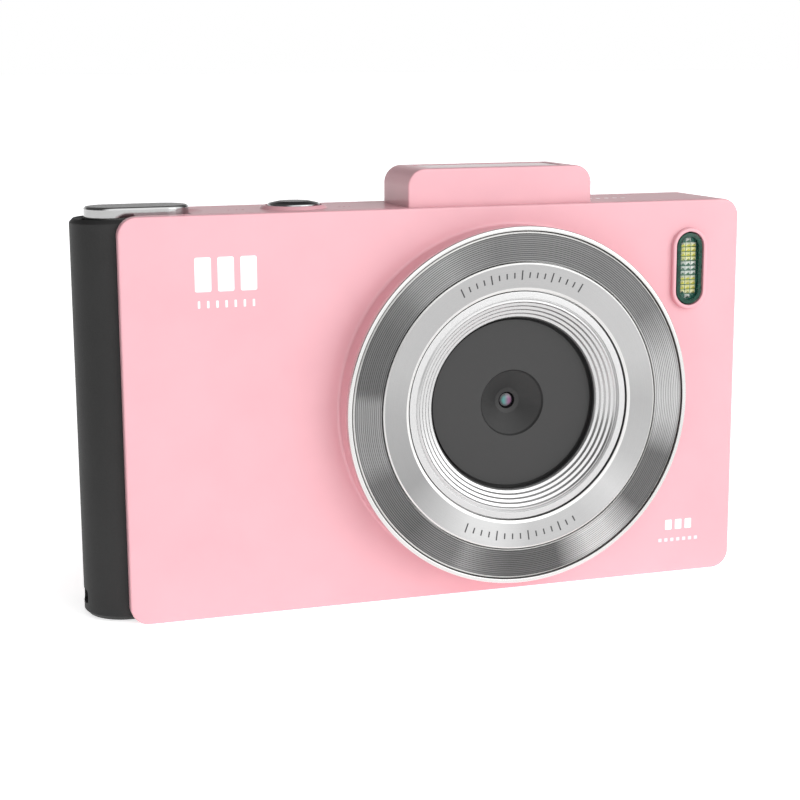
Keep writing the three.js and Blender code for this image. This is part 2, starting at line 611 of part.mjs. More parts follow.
// A push switch on the top board, whose plunger ends just below the pressed button.
function topSwitch(button) {
  const foot = TOP_BOARD.z1 + GAP;
  const body = box(
    button.x - SWITCH.halfX, button.x + SWITCH.halfX, SWITCH.y0, SWITCH.y1, foot, foot + SWITCH.height);
  const plungerTop = FLANGE_TOP - FLANGE_T - button.travel - 0.1;
  const plunger = rod(SWITCH.plungerR, foot + SWITCH.height - EPS, plungerTop);
  return body.add(turnedUp(plunger, button.x, SWITCH.plungerY, 16));
}
add("shutter_switch", topSwitch(SHUTTER), darkPlastic);
add("power_switch", topSwitch(POWER), darkPlastic);
add("top_board", box(
  TOP_BOARD.x0, TOP_BOARD.x1, TOP_BOARD.y0, TOP_BOARD.y1, TOP_BOARD.z0, TOP_BOARD.z1), board);

// ---------- rear cover, screen and keys ----------
const REAR_FRONT = BODY_D - REAR_T;
const KEYS = [
  ["key_ok", 0, 0], ["key_up", 0, 1], ["key_down", 0, -1], ["key_left", -1, 0], ["key_right", 1, 0],
  ["key_menu", -1, 2.5], ["key_mode", 1, 2.5], ["key_play", -1, -2.5], ["key_delete", 1, -2.5],
].map(([name, i, j]) => ({ name, x: KEY.x + i * KEY.pitch, z: KEY.z + j * KEY.pitch }));
const LAMP = { x: KEY.x, z: KEY.z + 2.5 * KEY.pitch, r: 0.8 };
const GLASS = { sunk: 0.05, t: 1.0, lip: 1.5, r: 1.2 };
const LCD_MODULE = { x0: LCD.x - 32.5, x1: LCD.x + 33.5, front: 12.4, back: 14.8, halfH: 24.5 };

function rearCover() {
  const outline = roundedRect(0, 0, PANEL_W, PANEL_H, PANEL_R);
  const thick = slabY(outline, REAR_FRONT - 2, BODY_D, REAR_FILLET);
  const before = box(-HALF_W - 1, HALF_W + 1, REAR_FRONT - 4, REAR_FRONT, -HALF_H - 1, HALF_H + 1);
  const recess = slabY(
    roundedRect(LCD.x, LCD.z, LCD.width + 2 * GAP, LCD.height + 2 * GAP, GLASS.r + GAP),
    BODY_D - GLASS.sunk - GLASS.t - GAP, BODY_D + 1);
  const through = slabY(
    roundedRect(LCD.x, LCD.z, LCD.width - 2 * GLASS.lip, LCD.height - 2 * GLASS.lip, 0.8),
    REAR_FRONT - 1, BODY_D + 1);
  const holes = KEYS.map((k) => turnedBack(rod(KEY.r + GAP, REAR_FRONT - 1, BODY_D + 1), k.x, k.z, 16));
  return minus(thick, before, recess, through, ...holes,
    turnedBack(rod(LAMP.r + GAP, REAR_FRONT - 1, BODY_D + 1), LAMP.x, LAMP.z, 12));
}
add("rear_cover", rearCover(), pink);
add("lcd_window", slabY(
  roundedRect(LCD.x, LCD.z, LCD.width, LCD.height, GLASS.r),
  BODY_D - GLASS.sunk - GLASS.t, BODY_D - GLASS.sunk, 0.2, 4, 1), screenGlass);
add("lcd_module", box(
  LCD_MODULE.x0, LCD_MODULE.x1, LCD_MODULE.front, LCD_MODULE.back,
  -LCD_MODULE.halfH, LCD_MODULE.halfH), darkPlastic);

const KEY_FLANGE_TOP = REAR_FRONT - GAP;
function key(k) {
  const flangeR = KEY.r + FLANGE + 0.1;
  return turnedBack([
    [0, KEY_FLANGE_TOP - FLANGE_T], [flangeR, KEY_FLANGE_TOP - FLANGE_T], [flangeR, KEY_FLANGE_TOP],
    [KEY.r, KEY_FLANGE_TOP], [KEY.r, BODY_D + KEY.proud - 0.3], [KEY.r - 0.35, BODY_D + KEY.proud],
    [0, BODY_D + KEY.proud],
  ], k.x, k.z, 14);
}
for (const k of KEYS) {
  add(k.name, key(k), keyGrey);
}
add("status_lamp", turnedBack(rod(LAMP.r, REAR_FRONT - 1.4, BODY_D - 0.1), LAMP.x, LAMP.z, 12), clearPane);

const MEMBRANE = { x0: -46.4, x1: -23.4, z0: -27, z1: 23, front: 12.1, t: 0.8, domeR: 1.8, domeTopR: 1.3 };
function keyMembrane() {
  const back = MEMBRANE.front + MEMBRANE.t;
  const sheet = box(MEMBRANE.x0, MEMBRANE.x1, MEMBRANE.front, back, MEMBRANE.z0, MEMBRANE.z1);
  const foot = back - MEMBRANE.t / 2;
  const domeTop = KEY_FLANGE_TOP - FLANGE_T - KEY.travel - 0.05;
  const dome = [[0, foot], [MEMBRANE.domeR, foot], [MEMBRANE.domeTopR, domeTop], [0, domeTop]];
  return plus(sheet, ...KEYS.map((k) => turnedBack(dome, k.x, k.z, 8)));
}
add("key_membrane", keyMembrane(), silicone);

// ---------- electronics and battery ----------
const BOARD = { x0: -46.5, x1: 48.2, z0: -23.6, z1: 28.4, hole: 1.3 };
const BOARD_TAB = { x0: 18, x1: 38, bottom: -29 };            // reaches down to the third screw
const BOARD_STEP = { x: -16, z: 25.9 };                       // cut away below the top buttons
function mainBoard() {
  const back = BOARD_FRONT + BOARD_T;
  const plate = box(BOARD.x0, BOARD.x1, BOARD_FRONT, back, BOARD.z0, BOARD.z1);
  const tab = box(BOARD_TAB.x0, BOARD_TAB.x1, BOARD_FRONT, back, BOARD_TAB.bottom, BOARD.z0 + EPS);
  const step = box(BOARD.x0 - 1, BOARD_STEP.x, BOARD_FRONT - 1, back + 1, BOARD_STEP.z, BOARD.z1 + 1);
  const holes = BOARD_POSTS.map(([x, z]) => (
    turnedBack(rod(BOARD.hole, BOARD_FRONT - 1, back + 1), x, z, 16)));
  return minus(plate.add(tab), step, ...holes);
}
add("main_board", mainBoard(), board);

const CELL = {
  x0: BATTERY.x - BATTERY.width / 2, x1: BATTERY.x + BATTERY.width / 2,
  y0: BATTERY.front, y1: BATTERY.front + BATTERY.depth,
  z0: BATTERY.bottom, z1: BATTERY.bottom + BATTERY.height,
};
add("battery", slabZ(
  roundedRect(BATTERY.x, (CELL.y0 + CELL.y1) / 2, BATTERY.width, BATTERY.depth, 1.2),
  CELL.z0, CELL.z1, 0.4, 4, 1), batteryWrap);

const HOLDER = { wall: 0.8, bottom: -27.6, headroom: 1.8 };
const CONTACT = { x: -34, halfX: 5.6, padPitch: 3.5, padHalf: 0.6, from: 0.8, to: 3.6 };
const CONTACT_CLEAR = 0.3;
function batteryHolder() {
  const out = GAP + HOLDER.wall;
  const bayTop = CELL.z1 + HOLDER.headroom;
  const outer = box(
    CELL.x0 - out, CELL.x1 + out, CELL.y0 - out, CELL.y1 + out, HOLDER.bottom, bayTop + HOLDER.wall);
  const bay = box(
    CELL.x0 - GAP, CELL.x1 + GAP, CELL.y0 - GAP, CELL.y1 + GAP, HOLDER.bottom - 1, bayTop);
  const slotX = CONTACT.halfX + CONTACT_CLEAR;
  const contactSlot = box(
    CONTACT.x - slotX, CONTACT.x + slotX, CELL.y0 + 0.8, CELL.y1 - 0.8, bayTop - EPS, bayTop + 2);
  return minus(outer, bay, contactSlot);
}
add("battery_holder", batteryHolder(), darkPlastic);

function batteryContact() {
  const block = box(
    CONTACT.x - CONTACT.halfX, CONTACT.x + CONTACT.halfX, CELL.y0 + 1.1, CELL.y1 - 1.1,
    CELL.z1 + CONTACT.from, CELL.z1 + CONTACT.to);
  const midY = (CELL.y0 + CELL.y1) / 2;
  const pads = [-1, 0, 1].map((i) => {
    const x = CONTACT.x + i * CONTACT.padPitch;
    return box(
      x - CONTACT.padHalf, x + CONTACT.padHalf, midY - CONTACT.padHalf, midY + CONTACT.padHalf,
      CELL.z1 + GAP, CELL.z1 + 1);
  });
  return plus(block, ...pads);
}
add("battery_contact", batteryContact(), brass);

function batteryDoor() {
  const knuckle = turnedBack(rod(HINGE.r, HINGE.front, HINGE.back), HINGE.x, HINGE.z, 20);
  const plate = box(DOOR.x0, HINGE.x, DOOR.front, DOOR.back, DOOR.bottom, DOOR.top);
  const bore = turnedBack(rod(HINGE.pin + 0.08, HINGE.front - 1, HINGE.back + 1), HINGE.x, HINGE.z, 16);
  const thumbSlot = box(
    DOOR.x0 + 1.2, DOOR.x0 + 2.2, DOOR.front + 1, DOOR.back - 1, DOOR.bottom - 1, DOOR.bottom + 0.4);
  return minus(plate.add(knuckle), bore, thumbSlot);
}
add("battery_door", batteryDoor(), pink);
add("door_pin", turnedBack(
  rod(HINGE.pin, FRAME_FRONT + 0.5, HINGE.back + 0.9), HINGE.x, HINGE.z, 16), steel);

add("tripod_nut", minus(
  turnedUp(rod(TRIPOD.r, -HALF_H + 0.2, TRIPOD.top), TRIPOD.x, TRIPOD.y, 20),
  turnedUp(rod(TRIPOD.boreR, -HALF_H - 1, TRIPOD.top - 0.8), TRIPOD.x, TRIPOD.y, 20)), brass);

// ---------- sockets, card and sound ----------
// A slab across the body at a card's or socket's middle, given its depth, thickness and width.
function sideSlab(at, x0, x1, thickness, width) {
  return box(x0, x1, at.y - thickness / 2, at.y + thickness / 2, at.z - width / 2, at.z + width / 2);
}

const CARD_SOCKET = { x0: 34.5, x1: 48.9, front: 5.9, back: 9.0, halfH: 7.2, wall: 1.0 };
add("card_socket", minus(
  box(CARD_SOCKET.x0, CARD_SOCKET.x1, CARD_SOCKET.front, CARD_SOCKET.back,
    CARD.z - CARD_SOCKET.halfH, CARD.z + CARD_SOCKET.halfH),
  sideSlab(CARD, CARD_SOCKET.x0 + CARD_SOCKET.wall, CARD_SOCKET.x1 + 1,
    CARD.thickness + 2 * GAP, CARD.width + 2 * GAP)), steel);
add("memory_card", sideSlab(
  CARD, CARD_SOCKET.x0 + CARD_SOCKET.wall + 0.4, HALF_W - 0.25, CARD.thickness, CARD.width), darkPlastic);

const USB_SHELL = { x0: 42.5, x1: HALF_W - 0.45, thickness: 3.0, width: 8.8, wall: 0.4, back: 1.5 };
function usbSocket() {
  const shell = sideSlab(USB, USB_SHELL.x0, USB_SHELL.x1, USB_SHELL.thickness, USB_SHELL.width);
  const mouth = sideSlab(USB, USB_SHELL.x0 + USB_SHELL.back, HALF_W + 1,
    USB_SHELL.thickness - 2 * USB_SHELL.wall, USB_SHELL.width - 2 * USB_SHELL.wall);
  const tongue = sideSlab(USB, USB_SHELL.x0 + 1, USB_SHELL.x1 - 0.8, 0.7, 6.4);
  return minus(shell, mouth).add(tongue);
}
add("usb_socket", usbSocket(), steel);

const SPEAKER_RIM = { bottom: 26.4, top: 29.1, width: 0.6, step: 0.3 };
add("speaker", turnedUp([
  [0, SPEAKER_RIM.bottom], [SPEAKER.r, SPEAKER_RIM.bottom], [SPEAKER.r, SPEAKER_RIM.top],
  [SPEAKER.r - SPEAKER_RIM.width, SPEAKER_RIM.top],
  [SPEAKER.r - SPEAKER_RIM.width, SPEAKER_RIM.top - SPEAKER_RIM.step],
  [0, SPEAKER_RIM.top - SPEAKER_RIM.step],
], SPEAKER.x, SPEAKER.y, 24), darkPlastic);
add("microphone", turnedUp(rod(MIC.r, 27.3, 29.2), MIC.x, TOP_HOLE_Y, 16), steel);

// ---------- screws ----------
// Pan head with a cross recess; the profile runs from the tip to the head's top.
function screwProfile(length, headR, headT, shankR) {
  return [
    [0, 0], [shankR * 0.7, 0], [shankR, 0.4], [shankR, length],
    [headR, length], [headR, length + headT * 0.6], [headR * 0.8, length + headT], [0, length + headT],
  ];
}
function crossRecess(headTop) {
  const arm = 1.0;
  const slot = 0.3;
  const depth = 0.5;
  return [
    new THREE.BoxGeometry(2 * arm, 2 * depth, slot).translate(0, headTop, 0),
    new THREE.BoxGeometry(slot, 2 * depth, 2 * arm).translate(0, headTop, 0),
  ];
}
const SHANK_R = 0.8;
const CASE_HEAD = { r: 1.75, t: 0.9 };
const BOARD_HEAD = { r: 1.6, t: 0.3 };
function screw(length, head, place) {
  const body = turned(screwProfile(length, head.r, head.t, SHANK_R), 12);
  const cuts = crossRecess(length + head.t);
  return minus(solid(place(body)), ...cuts.map((c) => solid(place(c))));
}
BOTTOM_SCREWS.forEach(([x, y], i) => {
  const length = 2.7;
  const tip = BOTTOM_SHOULDER - 0.2 + length;
  const place = (g) => g.rotateX(-Math.PI / 2).translate(x, y, tip);
  add(`screw_bottom_${i + 1}`, screw(length, CASE_HEAD, place), steel);
});
SIDE_SCREWS.forEach(([y, z], i) => {
  const length = 2.8;
  const tip = SIDE_SHOULDER + 0.3 - length;
  const place = (g) => g.rotateZ(-Math.PI / 2).translate(tip, y, z);
  add(`screw_side_${i + 1}`, screw(length, CASE_HEAD, place), steel);
});
BOARD_POSTS.forEach(([x, z], i) => {
  const length = 4.5;
  const tip = BOARD_FRONT + BOARD_T + GAP - length;
  const place = (g) => g.translate(x, tip, z);
  add(`screw_board_${i + 1}`, screw(length, BOARD_HEAD, place), steel);
});

// ---------- origin at the middle of the base ----------
const LEFT = GRIP_X - GRIP_R;
const BACK = BODY_D + KEY.proud;
camera.position.set(-(LEFT + HALF_W) / 2, -(BACK - LENS_FRONT) / 2, HALF_H);

export default camera;
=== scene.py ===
"""Looks of the compact digital camera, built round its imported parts.

Shapes are made in millimetres and turned into metres when a piece is finished. Front is -Y, up is +Z.
"""
import json
import math

import bmesh
import bpy
from mathutils import Matrix, Vector

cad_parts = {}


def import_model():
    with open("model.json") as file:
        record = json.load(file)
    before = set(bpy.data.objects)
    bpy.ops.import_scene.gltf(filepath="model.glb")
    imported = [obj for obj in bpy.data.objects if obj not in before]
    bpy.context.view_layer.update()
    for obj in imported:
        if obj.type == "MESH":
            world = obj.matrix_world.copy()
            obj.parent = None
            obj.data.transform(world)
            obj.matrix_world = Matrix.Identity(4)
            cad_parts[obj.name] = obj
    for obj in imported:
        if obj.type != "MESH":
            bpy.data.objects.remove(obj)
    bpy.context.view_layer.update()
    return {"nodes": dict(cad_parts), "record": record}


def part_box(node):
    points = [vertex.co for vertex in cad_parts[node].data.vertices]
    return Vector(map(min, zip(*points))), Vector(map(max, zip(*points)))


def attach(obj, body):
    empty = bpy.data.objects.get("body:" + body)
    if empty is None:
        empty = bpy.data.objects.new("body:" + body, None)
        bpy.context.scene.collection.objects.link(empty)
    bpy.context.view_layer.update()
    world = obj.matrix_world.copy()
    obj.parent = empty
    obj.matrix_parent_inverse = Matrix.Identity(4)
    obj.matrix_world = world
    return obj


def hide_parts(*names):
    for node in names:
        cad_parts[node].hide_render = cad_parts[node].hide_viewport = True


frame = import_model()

MM = 0.001
SCENE = bpy.context.scene


# ---------- camera ----------
CAMERA_PLACE = Vector((-0.08566, -0.25913, 0.08353))
CAMERA_YAW = math.radians(17.76)
CAMERA_PITCH = math.radians(10.87)
CAMERA_ROLL = math.radians(0.33)
SENSOR = 36.0
LENS = 77.616


def make_camera():
    data = bpy.data.cameras.new("view_camera")
    data.sensor_width = SENSOR
    data.lens = LENS
    data.clip_start = 0.01
    data.clip_end = 50.0
    camera = bpy.data.objects.new("view_camera", data)
    SCENE.collection.objects.link(camera)
    ahead = Vector((
        math.sin(CAMERA_YAW) * math.cos(CAMERA_PITCH),
        math.cos(CAMERA_YAW) * math.cos(CAMERA_PITCH),
        -math.sin(CAMERA_PITCH),
    ))
    level = Vector((math.cos(CAMERA_YAW), -math.sin(CAMERA_YAW), 0.0))
    below = ahead.cross(level)
    right = level * math.cos(CAMERA_ROLL) + below * math.sin(CAMERA_ROLL)
    down = below * math.cos(CAMERA_ROLL) - level * math.sin(CAMERA_ROLL)
    turn = Matrix((right, -down, -ahead)).transposed()
    camera.matrix_world = Matrix.Translation(CAMERA_PLACE) @ turn.to_4x4()
    SCENE.camera = camera


make_camera()


# ---------- where the CAD parts are, in millimetres ----------
BODY_OF = {
    node: body
    for body, members in frame["record"]["behaviour"]["bodies"].items()
    for node in members
}


def low(node):
    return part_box(node)[0] / MM


def high(node):
    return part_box(node)[1] / MM


def mid(node):
    return (low(node) + high(node)) / 2


def size(node):
    return high(node) - low(node)


GAP = 0.3                        # between neighbouring pieces
WALL = 1.6                       # moulded wall
BUTTON_GAP = 0.4

PANEL_T = 1.7                    # front panel
PANEL_R = 2.9
PANEL_FILLET = 0.6
FRAME_FRONT = low("mid_frame").y
FRAME_BACK = high("mid_frame").y
FACE = FRAME_FRONT - GAP - PANEL_T
TOP = high("front_cover").z
LEFT = low("front_cover").x
RIGHT = high("front_cover").x
MIDDLE = Vector(((LEFT + RIGHT) / 2, 0.0, TOP / 2))
PANEL_W = RIGHT - LEFT
REAR_FACE = high("rear_cover").y
REAR_INNER = low("rear_cover").y

TURNED_LINES = 14
TURNED_IN = 23.03
TURNED_OUT = size("turned_ring").x / 2
TURNED_EDGE = 0.22               # plain cut edge outside the turned lines
CUT_IN = 0.1                     # and inside them
RING_GAP = 0.19                  # gap between neighbouring rings, seen as a dark line through painted shade on the base under it
TURNED_PITCH = (TURNED_OUT - TURNED_IN - TURNED_EDGE - CUT_IN) / TURNED_LINES
LENS_AT = Vector((mid("rim_ring").x, FACE, mid("rim_ring").z))
RIM_R = size("rim_ring").x / 2
LENS_FRONT = FACE - low("rim_ring").y
BASE_R = 28.3
BASE_TOP = LENS_FRONT - 1.3

FORWARD = Vector((0, -1, 0))
BACKWARD = Vector((0, 1, 0))
UPWARD = Vector((0, 0, 1))
RIGHTWARD = Vector((1, 0, 0))


def from_lens(point):
    """Distance from the lens axis, and distance in front of the panel."""
    offset = point - LENS_AT
    return math.hypot(offset.x, offset.z), -offset.y


# ---------- outlines and profiles ----------
def arc(cx, cy, r, start, end, count):
    """Points of an arc, both ends included, angles in quarter turns."""
    points = []
    for i in range(count + 1):
        a = math.pi / 2 * (start + (end - start) * i / count)
        points.append((cx + r * math.cos(a), cy + r * math.sin(a)))
    return points


def rounded_rect(cx, cy, width, height, r, count=10):
    dx = width / 2 - r
    dy = height / 2 - r
    return (
        arc(cx + dx, cy - dy, r, -1, 0, count) + arc(cx + dx, cy + dy, r, 0, 1, count)
        + arc(cx - dx, cy + dy, r, 1, 2, count) + arc(cx - dx, cy - dy, r, 2, 3, count)
    )


def stadium(cx, cy, width, height, count=32):
    """Two half circles joined by straight sides along the longer way."""
    if width > height:
        reach = (width - height) / 2
        return (
            arc(cx + reach, cy, height / 2, -1, 1, count)
            + arc(cx - reach, cy, height / 2, 1, 3, count)
        )
    reach = (height - width) / 2
    return (
        arc(cx, cy + reach, width / 2, 0, 2, count)
        + arc(cx, cy - reach, width / 2, 2, 4, count)
    )


def circle(cx, cy, r, count=48):
    return arc(cx, cy, r, 0, 4, count)[:-1]


def eased(path, count=4):
    """A path of (a, b) or (a, b, corner radius) points, with each such corner turned into an arc."""
    points = []
    for i, here in enumerate(path):
        corner = Vector(here[:2])
        radius = here[2] if len(here) > 2 else 0
        if radius == 0 or i in (0, len(path) - 1):
            points.append(tuple(corner))
            continue
        before = Vector(path[i - 1][:2]) - corner
        after = Vector(path[i + 1][:2]) - corner
        half = before.angle(after) / 2
        run = min(radius / math.tan(half), 0.48 * before.length, 0.48 * after.length)
        reach = run * math.tan(half)
        before.normalize()
        after.normalize()
        centre = corner + (before + after).normalized() * reach / math.sin(half)
        first = corner + before * run - centre
        last = corner + after * run - centre
        sweep = first.angle_signed(last)
        for k in range(count + 1):
            turned = Matrix.Rotation(-sweep * k / count, 2) @ first
            points.append(tuple(centre + turned))
    return points


# ---------- building meshes ----------
ON_AXIS = 1e-6
SAME_POINT = 1e-4
SAME_CAD_POINT = 1e-3
SAME_CUT_POINT = 2e-3            # booleans leave points this close together
FLAT_ENOUGH = math.radians(0.2)  # neighbouring faces within this angle are one face
SHARP = math.radians(32)         # an edge between faces further apart than this is sharp


class Shell:
    """A mesh being built, in millimetres."""

    def __init__(self, mesh=None):
        self.bm = bmesh.new()
        if mesh is not None:
            self.bm.from_mesh(mesh)

    def loop(self, points):
        return [self.bm.verts.new(p) for p in points]

    def bridge(self, a, b):
        count = max(len(a), len(b))
        for i in range(count):
            j = (i + 1) % count
            if len(a) == 1:
                corners = (a[0], b[i], b[j])
            elif len(b) == 1:
                corners = (a[i], a[j], b[0])
            else:
                corners = (a[i], a[j], b[j], b[i])
            self.bm.faces.new(corners)

    def skin(self, loops):
        for a, b in zip(loops, loops[1:]):
            self.bridge(a, b)
        return loops[0], loops[-1]

    def close(self, first, last):
        """Closes both ends with one flat face each."""
        self.bm.faces.new(first)
        self.bm.faces.new(last)
        return self

    def cap(self, outer, *holes):
        """Closes a flat outline, leaving its holes open."""
        edges = []
        for ring in (outer, *holes):
            for i, vert in enumerate(ring):
                pair = (vert, ring[i - 1])
                edges.append(self.bm.edges.get(pair) or self.bm.edges.new(pair))
        bmesh.ops.triangle_fill(self.bm, use_beauty=True, edges=edges)

    def turn(self, path, at, axis, count=64):
        """A surface of revolution through (radius, distance along the axis) points."""
        side = axis.orthogonal().normalized()
        other = axis.cross(side)
        loops = []
        for r, h in path:
            centre = at + axis * h
            if r < ON_AXIS:
                loops.append(self.loop([centre]))
                continue
            loops.append(self.loop([
                centre + (side * math.cos(a) + other * math.sin(a)) * r
                for a in (math.tau * i / count for i in range(count))
            ]))
        return self.skin(loops)

    def rise(self, outline, path, axis):
        """Loops of outline(grow) at each (grow, depth along the axis) of the path."""
        return self.skin([
            self.loop(placed(outline(grow), depth, axis)) for grow, depth in path
        ])

    def clean(self):
        bmesh.ops.remove_doubles(self.bm, verts=self.bm.verts, dist=SAME_POINT)
        bmesh.ops.recalc_face_normals(self.bm, faces=self.bm.faces)
        return self


def placed(outline, depth, axis):
    """Flat outline points in space: x and z across y, x and y across z, or y and z across x."""
    if axis == "y":
        return [(u, depth, v) for u, v in outline]
    if axis == "z":
        return [(u, v, depth) for u, v in outline]
    return [(depth, u, v) for u, v in outline]


def prism(outline, start, end, axis):
    """A closed straight-sided solid."""
    shell = Shell()
    ends = shell.skin([shell.loop(placed(outline, d, axis)) for d in (start, end)])
    return shell.close(*ends).clean()


def block(x0, x1, y0, y1, z0, z1):
    return prism([(x0, y0), (x1, y0), (x1, y1), (x0, y1)], z0, z1, "z")


def lathe(path, at, axis, count=64):
    """A closed turned solid. The path closes on itself or ends on the axis."""
    shell = Shell()
    first, last = shell.turn(path, at, axis, count)
    if len(first) > 1:
        shell.bridge(last, first)
    return shell.clean()


def rod(at, axis, r, start, end, count=32):
    return lathe([(0, start), (r, start), (r, end), (0, end)], at, axis, count)


def as_tool(shell):
    mesh = bpy.data.meshes.new("tool")
    shell.bm.to_mesh(mesh)
    shell.bm.free()
    tool = bpy.data.objects.new("tool", mesh)
    SCENE.collection.objects.link(tool)
    return tool


def combined(shell, joined=(), removed=()):
    """The shell with some solids joined to it and others cut from it."""
    target = as_tool(shell)
    tools = []
    for solids, operation in ((joined, "UNION"), (removed, "DIFFERENCE")):
        for solid in solids:
            tool = as_tool(solid)
            tools.append(tool)
            step = target.modifiers.new("step", "BOOLEAN")
            step.solver = "MANIFOLD"
            step.operation = operation
            step.object = tool
    evaluated = target.evaluated_get(bpy.context.evaluated_depsgraph_get())
    mesh = bpy.data.meshes.new_from_object(evaluated)
    result = Shell(mesh)
    bpy.data.meshes.remove(mesh)
    for tool in (target, *tools):
        bpy.data.objects.remove(tool)
    return result


def softened(shell, width, segments=2):
    """The shell with its sharp edges slightly rounded."""
    bm = shell.bm
    bmesh.ops.remove_doubles(bm, verts=bm.verts, dist=SAME_CUT_POINT)
    bmesh.ops.dissolve_limit(bm, angle_limit=FLAT_ENOUGH, verts=bm.verts, edges=bm.edges)
    edges = [e for e in bm.edges if e.is_manifold and e.calc_face_angle(0) > SHARP]
    bmesh.ops.bevel(
        bm, geom=edges, offset=width, offset_type="OFFSET", segments=segments,
        profile=0.5, affect="EDGES", clamp_overlap=True)
    return shell


def from_cad(node):
    """The CAD part's own mesh, in millimetres, with its split corners joined."""
    shell = Shell(frame["nodes"][node].data)
    bmesh.ops.scale(shell.bm, vec=(1 / MM,) * 3, verts=shell.bm.verts)
    bmesh.ops.remove_doubles(shell.bm, verts=shell.bm.verts, dist=SAME_CAD_POINT)
    return shell


def finished(name, shell, surfaces, node=None, body=None, second=None):
    """Makes the shell a piece that rides on its body and stands for its CAD part, if it has one.

    The faces whose middle passes the test called second take the second surface.
    """
    bm = shell.clean().bm
    for face in bm.faces:
        if second and second(face.calc_center_median()):
            face.material_index = 1
    bmesh.ops.scale(bm, vec=(MM,) * 3, verts=bm.verts)
    for face in bm.faces:
        face.smooth = True
    for edge in bm.edges:
        edge.smooth = edge.is_manifold and edge.calc_face_angle(0) < SHARP
    mesh = bpy.data.meshes.new(name)
    bm.to_mesh(mesh)
    bm.free()
    for surface in surfaces if isinstance(surfaces, (list, tuple)) else [surfaces]:
        mesh.materials.append(surface)
    made = bpy.data.objects.new(name, mesh)
    SCENE.collection.objects.link(made)
    even = made.modifiers.new("even_shading", "WEIGHTED_NORMAL")
    even.keep_sharp = True
    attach(made, body or BODY_OF[node])
    if node:
        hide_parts(node)


# ---------- material building ----------
def add_node(tree, kind, inputs=None, **settings):
    """A shader node. Each input is a number, a colour or another node's output."""
    made = tree.nodes.new(kind)
    for key, value in settings.items():
        setattr(made, key, value)
    for key, value in (inputs or {}).items():
        if isinstance(value, bpy.types.NodeSocket):
            tree.links.new(value, made.inputs[key])
        else:
            made.inputs[key].default_value = value
    return made


def new_material(name):
    material = bpy.data.materials.new(name)
    material.use_nodes = True
    tree = material.node_tree
    shader = tree.nodes["Principled BSDF"]
    place = add_node(tree, "ShaderNodeTexCoord").outputs["Object"]
    return material, tree, shader, place


def noise(tree, place, feature, detail=2.0):
    """Smooth noise whose lumps are about that many millimetres across."""
    return add_node(tree, "ShaderNodeTexNoise", {
        "Vector": place, "Scale": 1 / (feature * MM), "Detail": detail,
    }).outputs["Fac"]


def ranged(tree, value, start, end, low_in=0.25, high_in=0.75, ease="LINEAR"):
    """Start to end as the value goes from low_in to high_in, and level outside them."""
    return add_node(tree, "ShaderNodeMapRange", {
        "Value": value, "From Min": low_in, "From Max": high_in, "To Min": start, "To Max": end,
    }, interpolation_type=ease).outputs["Result"]


def eased_range(tree, value, start, end, low_in, high_in):
    return ranged(tree, value, start, end, low_in, high_in, "SMOOTHSTEP")


def mixed(tree, fac, a, b, blend="MIX"):
    node = add_node(tree, "ShaderNodeMix", data_type="RGBA", blend_type=blend)
    pairs = (("Factor_Float", fac), ("A_Color", a), ("B_Color", b))
    for key, value in pairs:
        socket = next(s for s in node.inputs if s.identifier == key)
        if isinstance(value, bpy.types.NodeSocket):
            tree.links.new(value, socket)
        else:
            socket.default_value = value
    return next(s for s in node.outputs if s.identifier == "Result_Color")


def solid_colour(rgb):
    return (*rgb, 1.0)


def between(tree, fac, dark, light):
    """A colour between two tones, given as red, green and blue."""
    return mixed(tree, fac, solid_colour(dark), solid_colour(light))


def dressed(tree, shader, colour, grain, rough, relief, height=None, **sockets):
    """Sets the colour, a roughness that follows the grain, and relief in millimetres."""
    tree.links.new(colour, shader.inputs["Base Color"])
    tree.links.new(ranged(tree, grain, *rough), shader.inputs["Roughness"])
    bump = add_node(tree, "ShaderNodeBump", {
        "Height": grain if height is None else height, "Strength": 1.0, "Distance": relief * MM,
    })
    tree.links.new(bump.outputs["Normal"], shader.inputs["Normal"])
    for key, value in sockets.items():
        shader.inputs[key.replace("_", " ")].default_value = value


BLOTCH = 9.0                     # size of the soft patches of colour


def surface(name, dark, light, rough, grain, relief, metallic=0.0, coat=0.0, **sockets):
    """A material with blotchy colour between two tones, uneven roughness and a fine grain.

    The grain is the size of its lumps, and the relief their depth, both in millimetres.
    """
    material, tree, shader, place = new_material(name)
    blotch = noise(tree, place, BLOTCH, 3.0)
    tone = between(tree, ranged(tree, blotch, 0, 1), dark, light)
    fine = noise(tree, place, grain, 4.0)
    dressed(tree, shader, tone, fine, rough, relief, Metallic=metallic, Coat_Weight=coat, **sockets)
    return material


PINK = surface(
    "pink_satin", (0.71, 0.368, 0.412), (0.75, 0.393, 0.437), (0.40, 0.50), 0.12, 0.004, coat=0.25,
    Coat_Roughness=0.12)
PLATE_PINK = surface(
    "plate_pink_gloss", (0.62, 0.41, 0.44), (0.66, 0.44, 0.47), (0.30, 0.40), 0.12, 0.003, coat=0.5,
    Coat_Roughness=0.06)
BLACK = surface(
    "black_soft_touch", (0.011, 0.011, 0.011), (0.016, 0.016, 0.016), (0.50, 0.64), 0.18, 0.02,
    Specular_IOR_Level=0.4)
CHROME = surface(
    "bright_chrome", (0.40, 0.40, 0.40), (0.46, 0.46, 0.46), (0.07, 0.14), 0.6, 0.002, metallic=1.0)
RIM_METAL = surface(
    "bright_rim_metal", (0.60, 0.60, 0.59), (0.66, 0.66, 0.65), (0.16, 0.24), 0.4, 0.002, metallic=1.0)
CUT_EDGE = surface(
    "diamond_cut_edge", (0.62, 0.62, 0.61), (0.68, 0.68, 0.67), (0.34, 0.42), 0.4, 0.001, metallic=1.0)
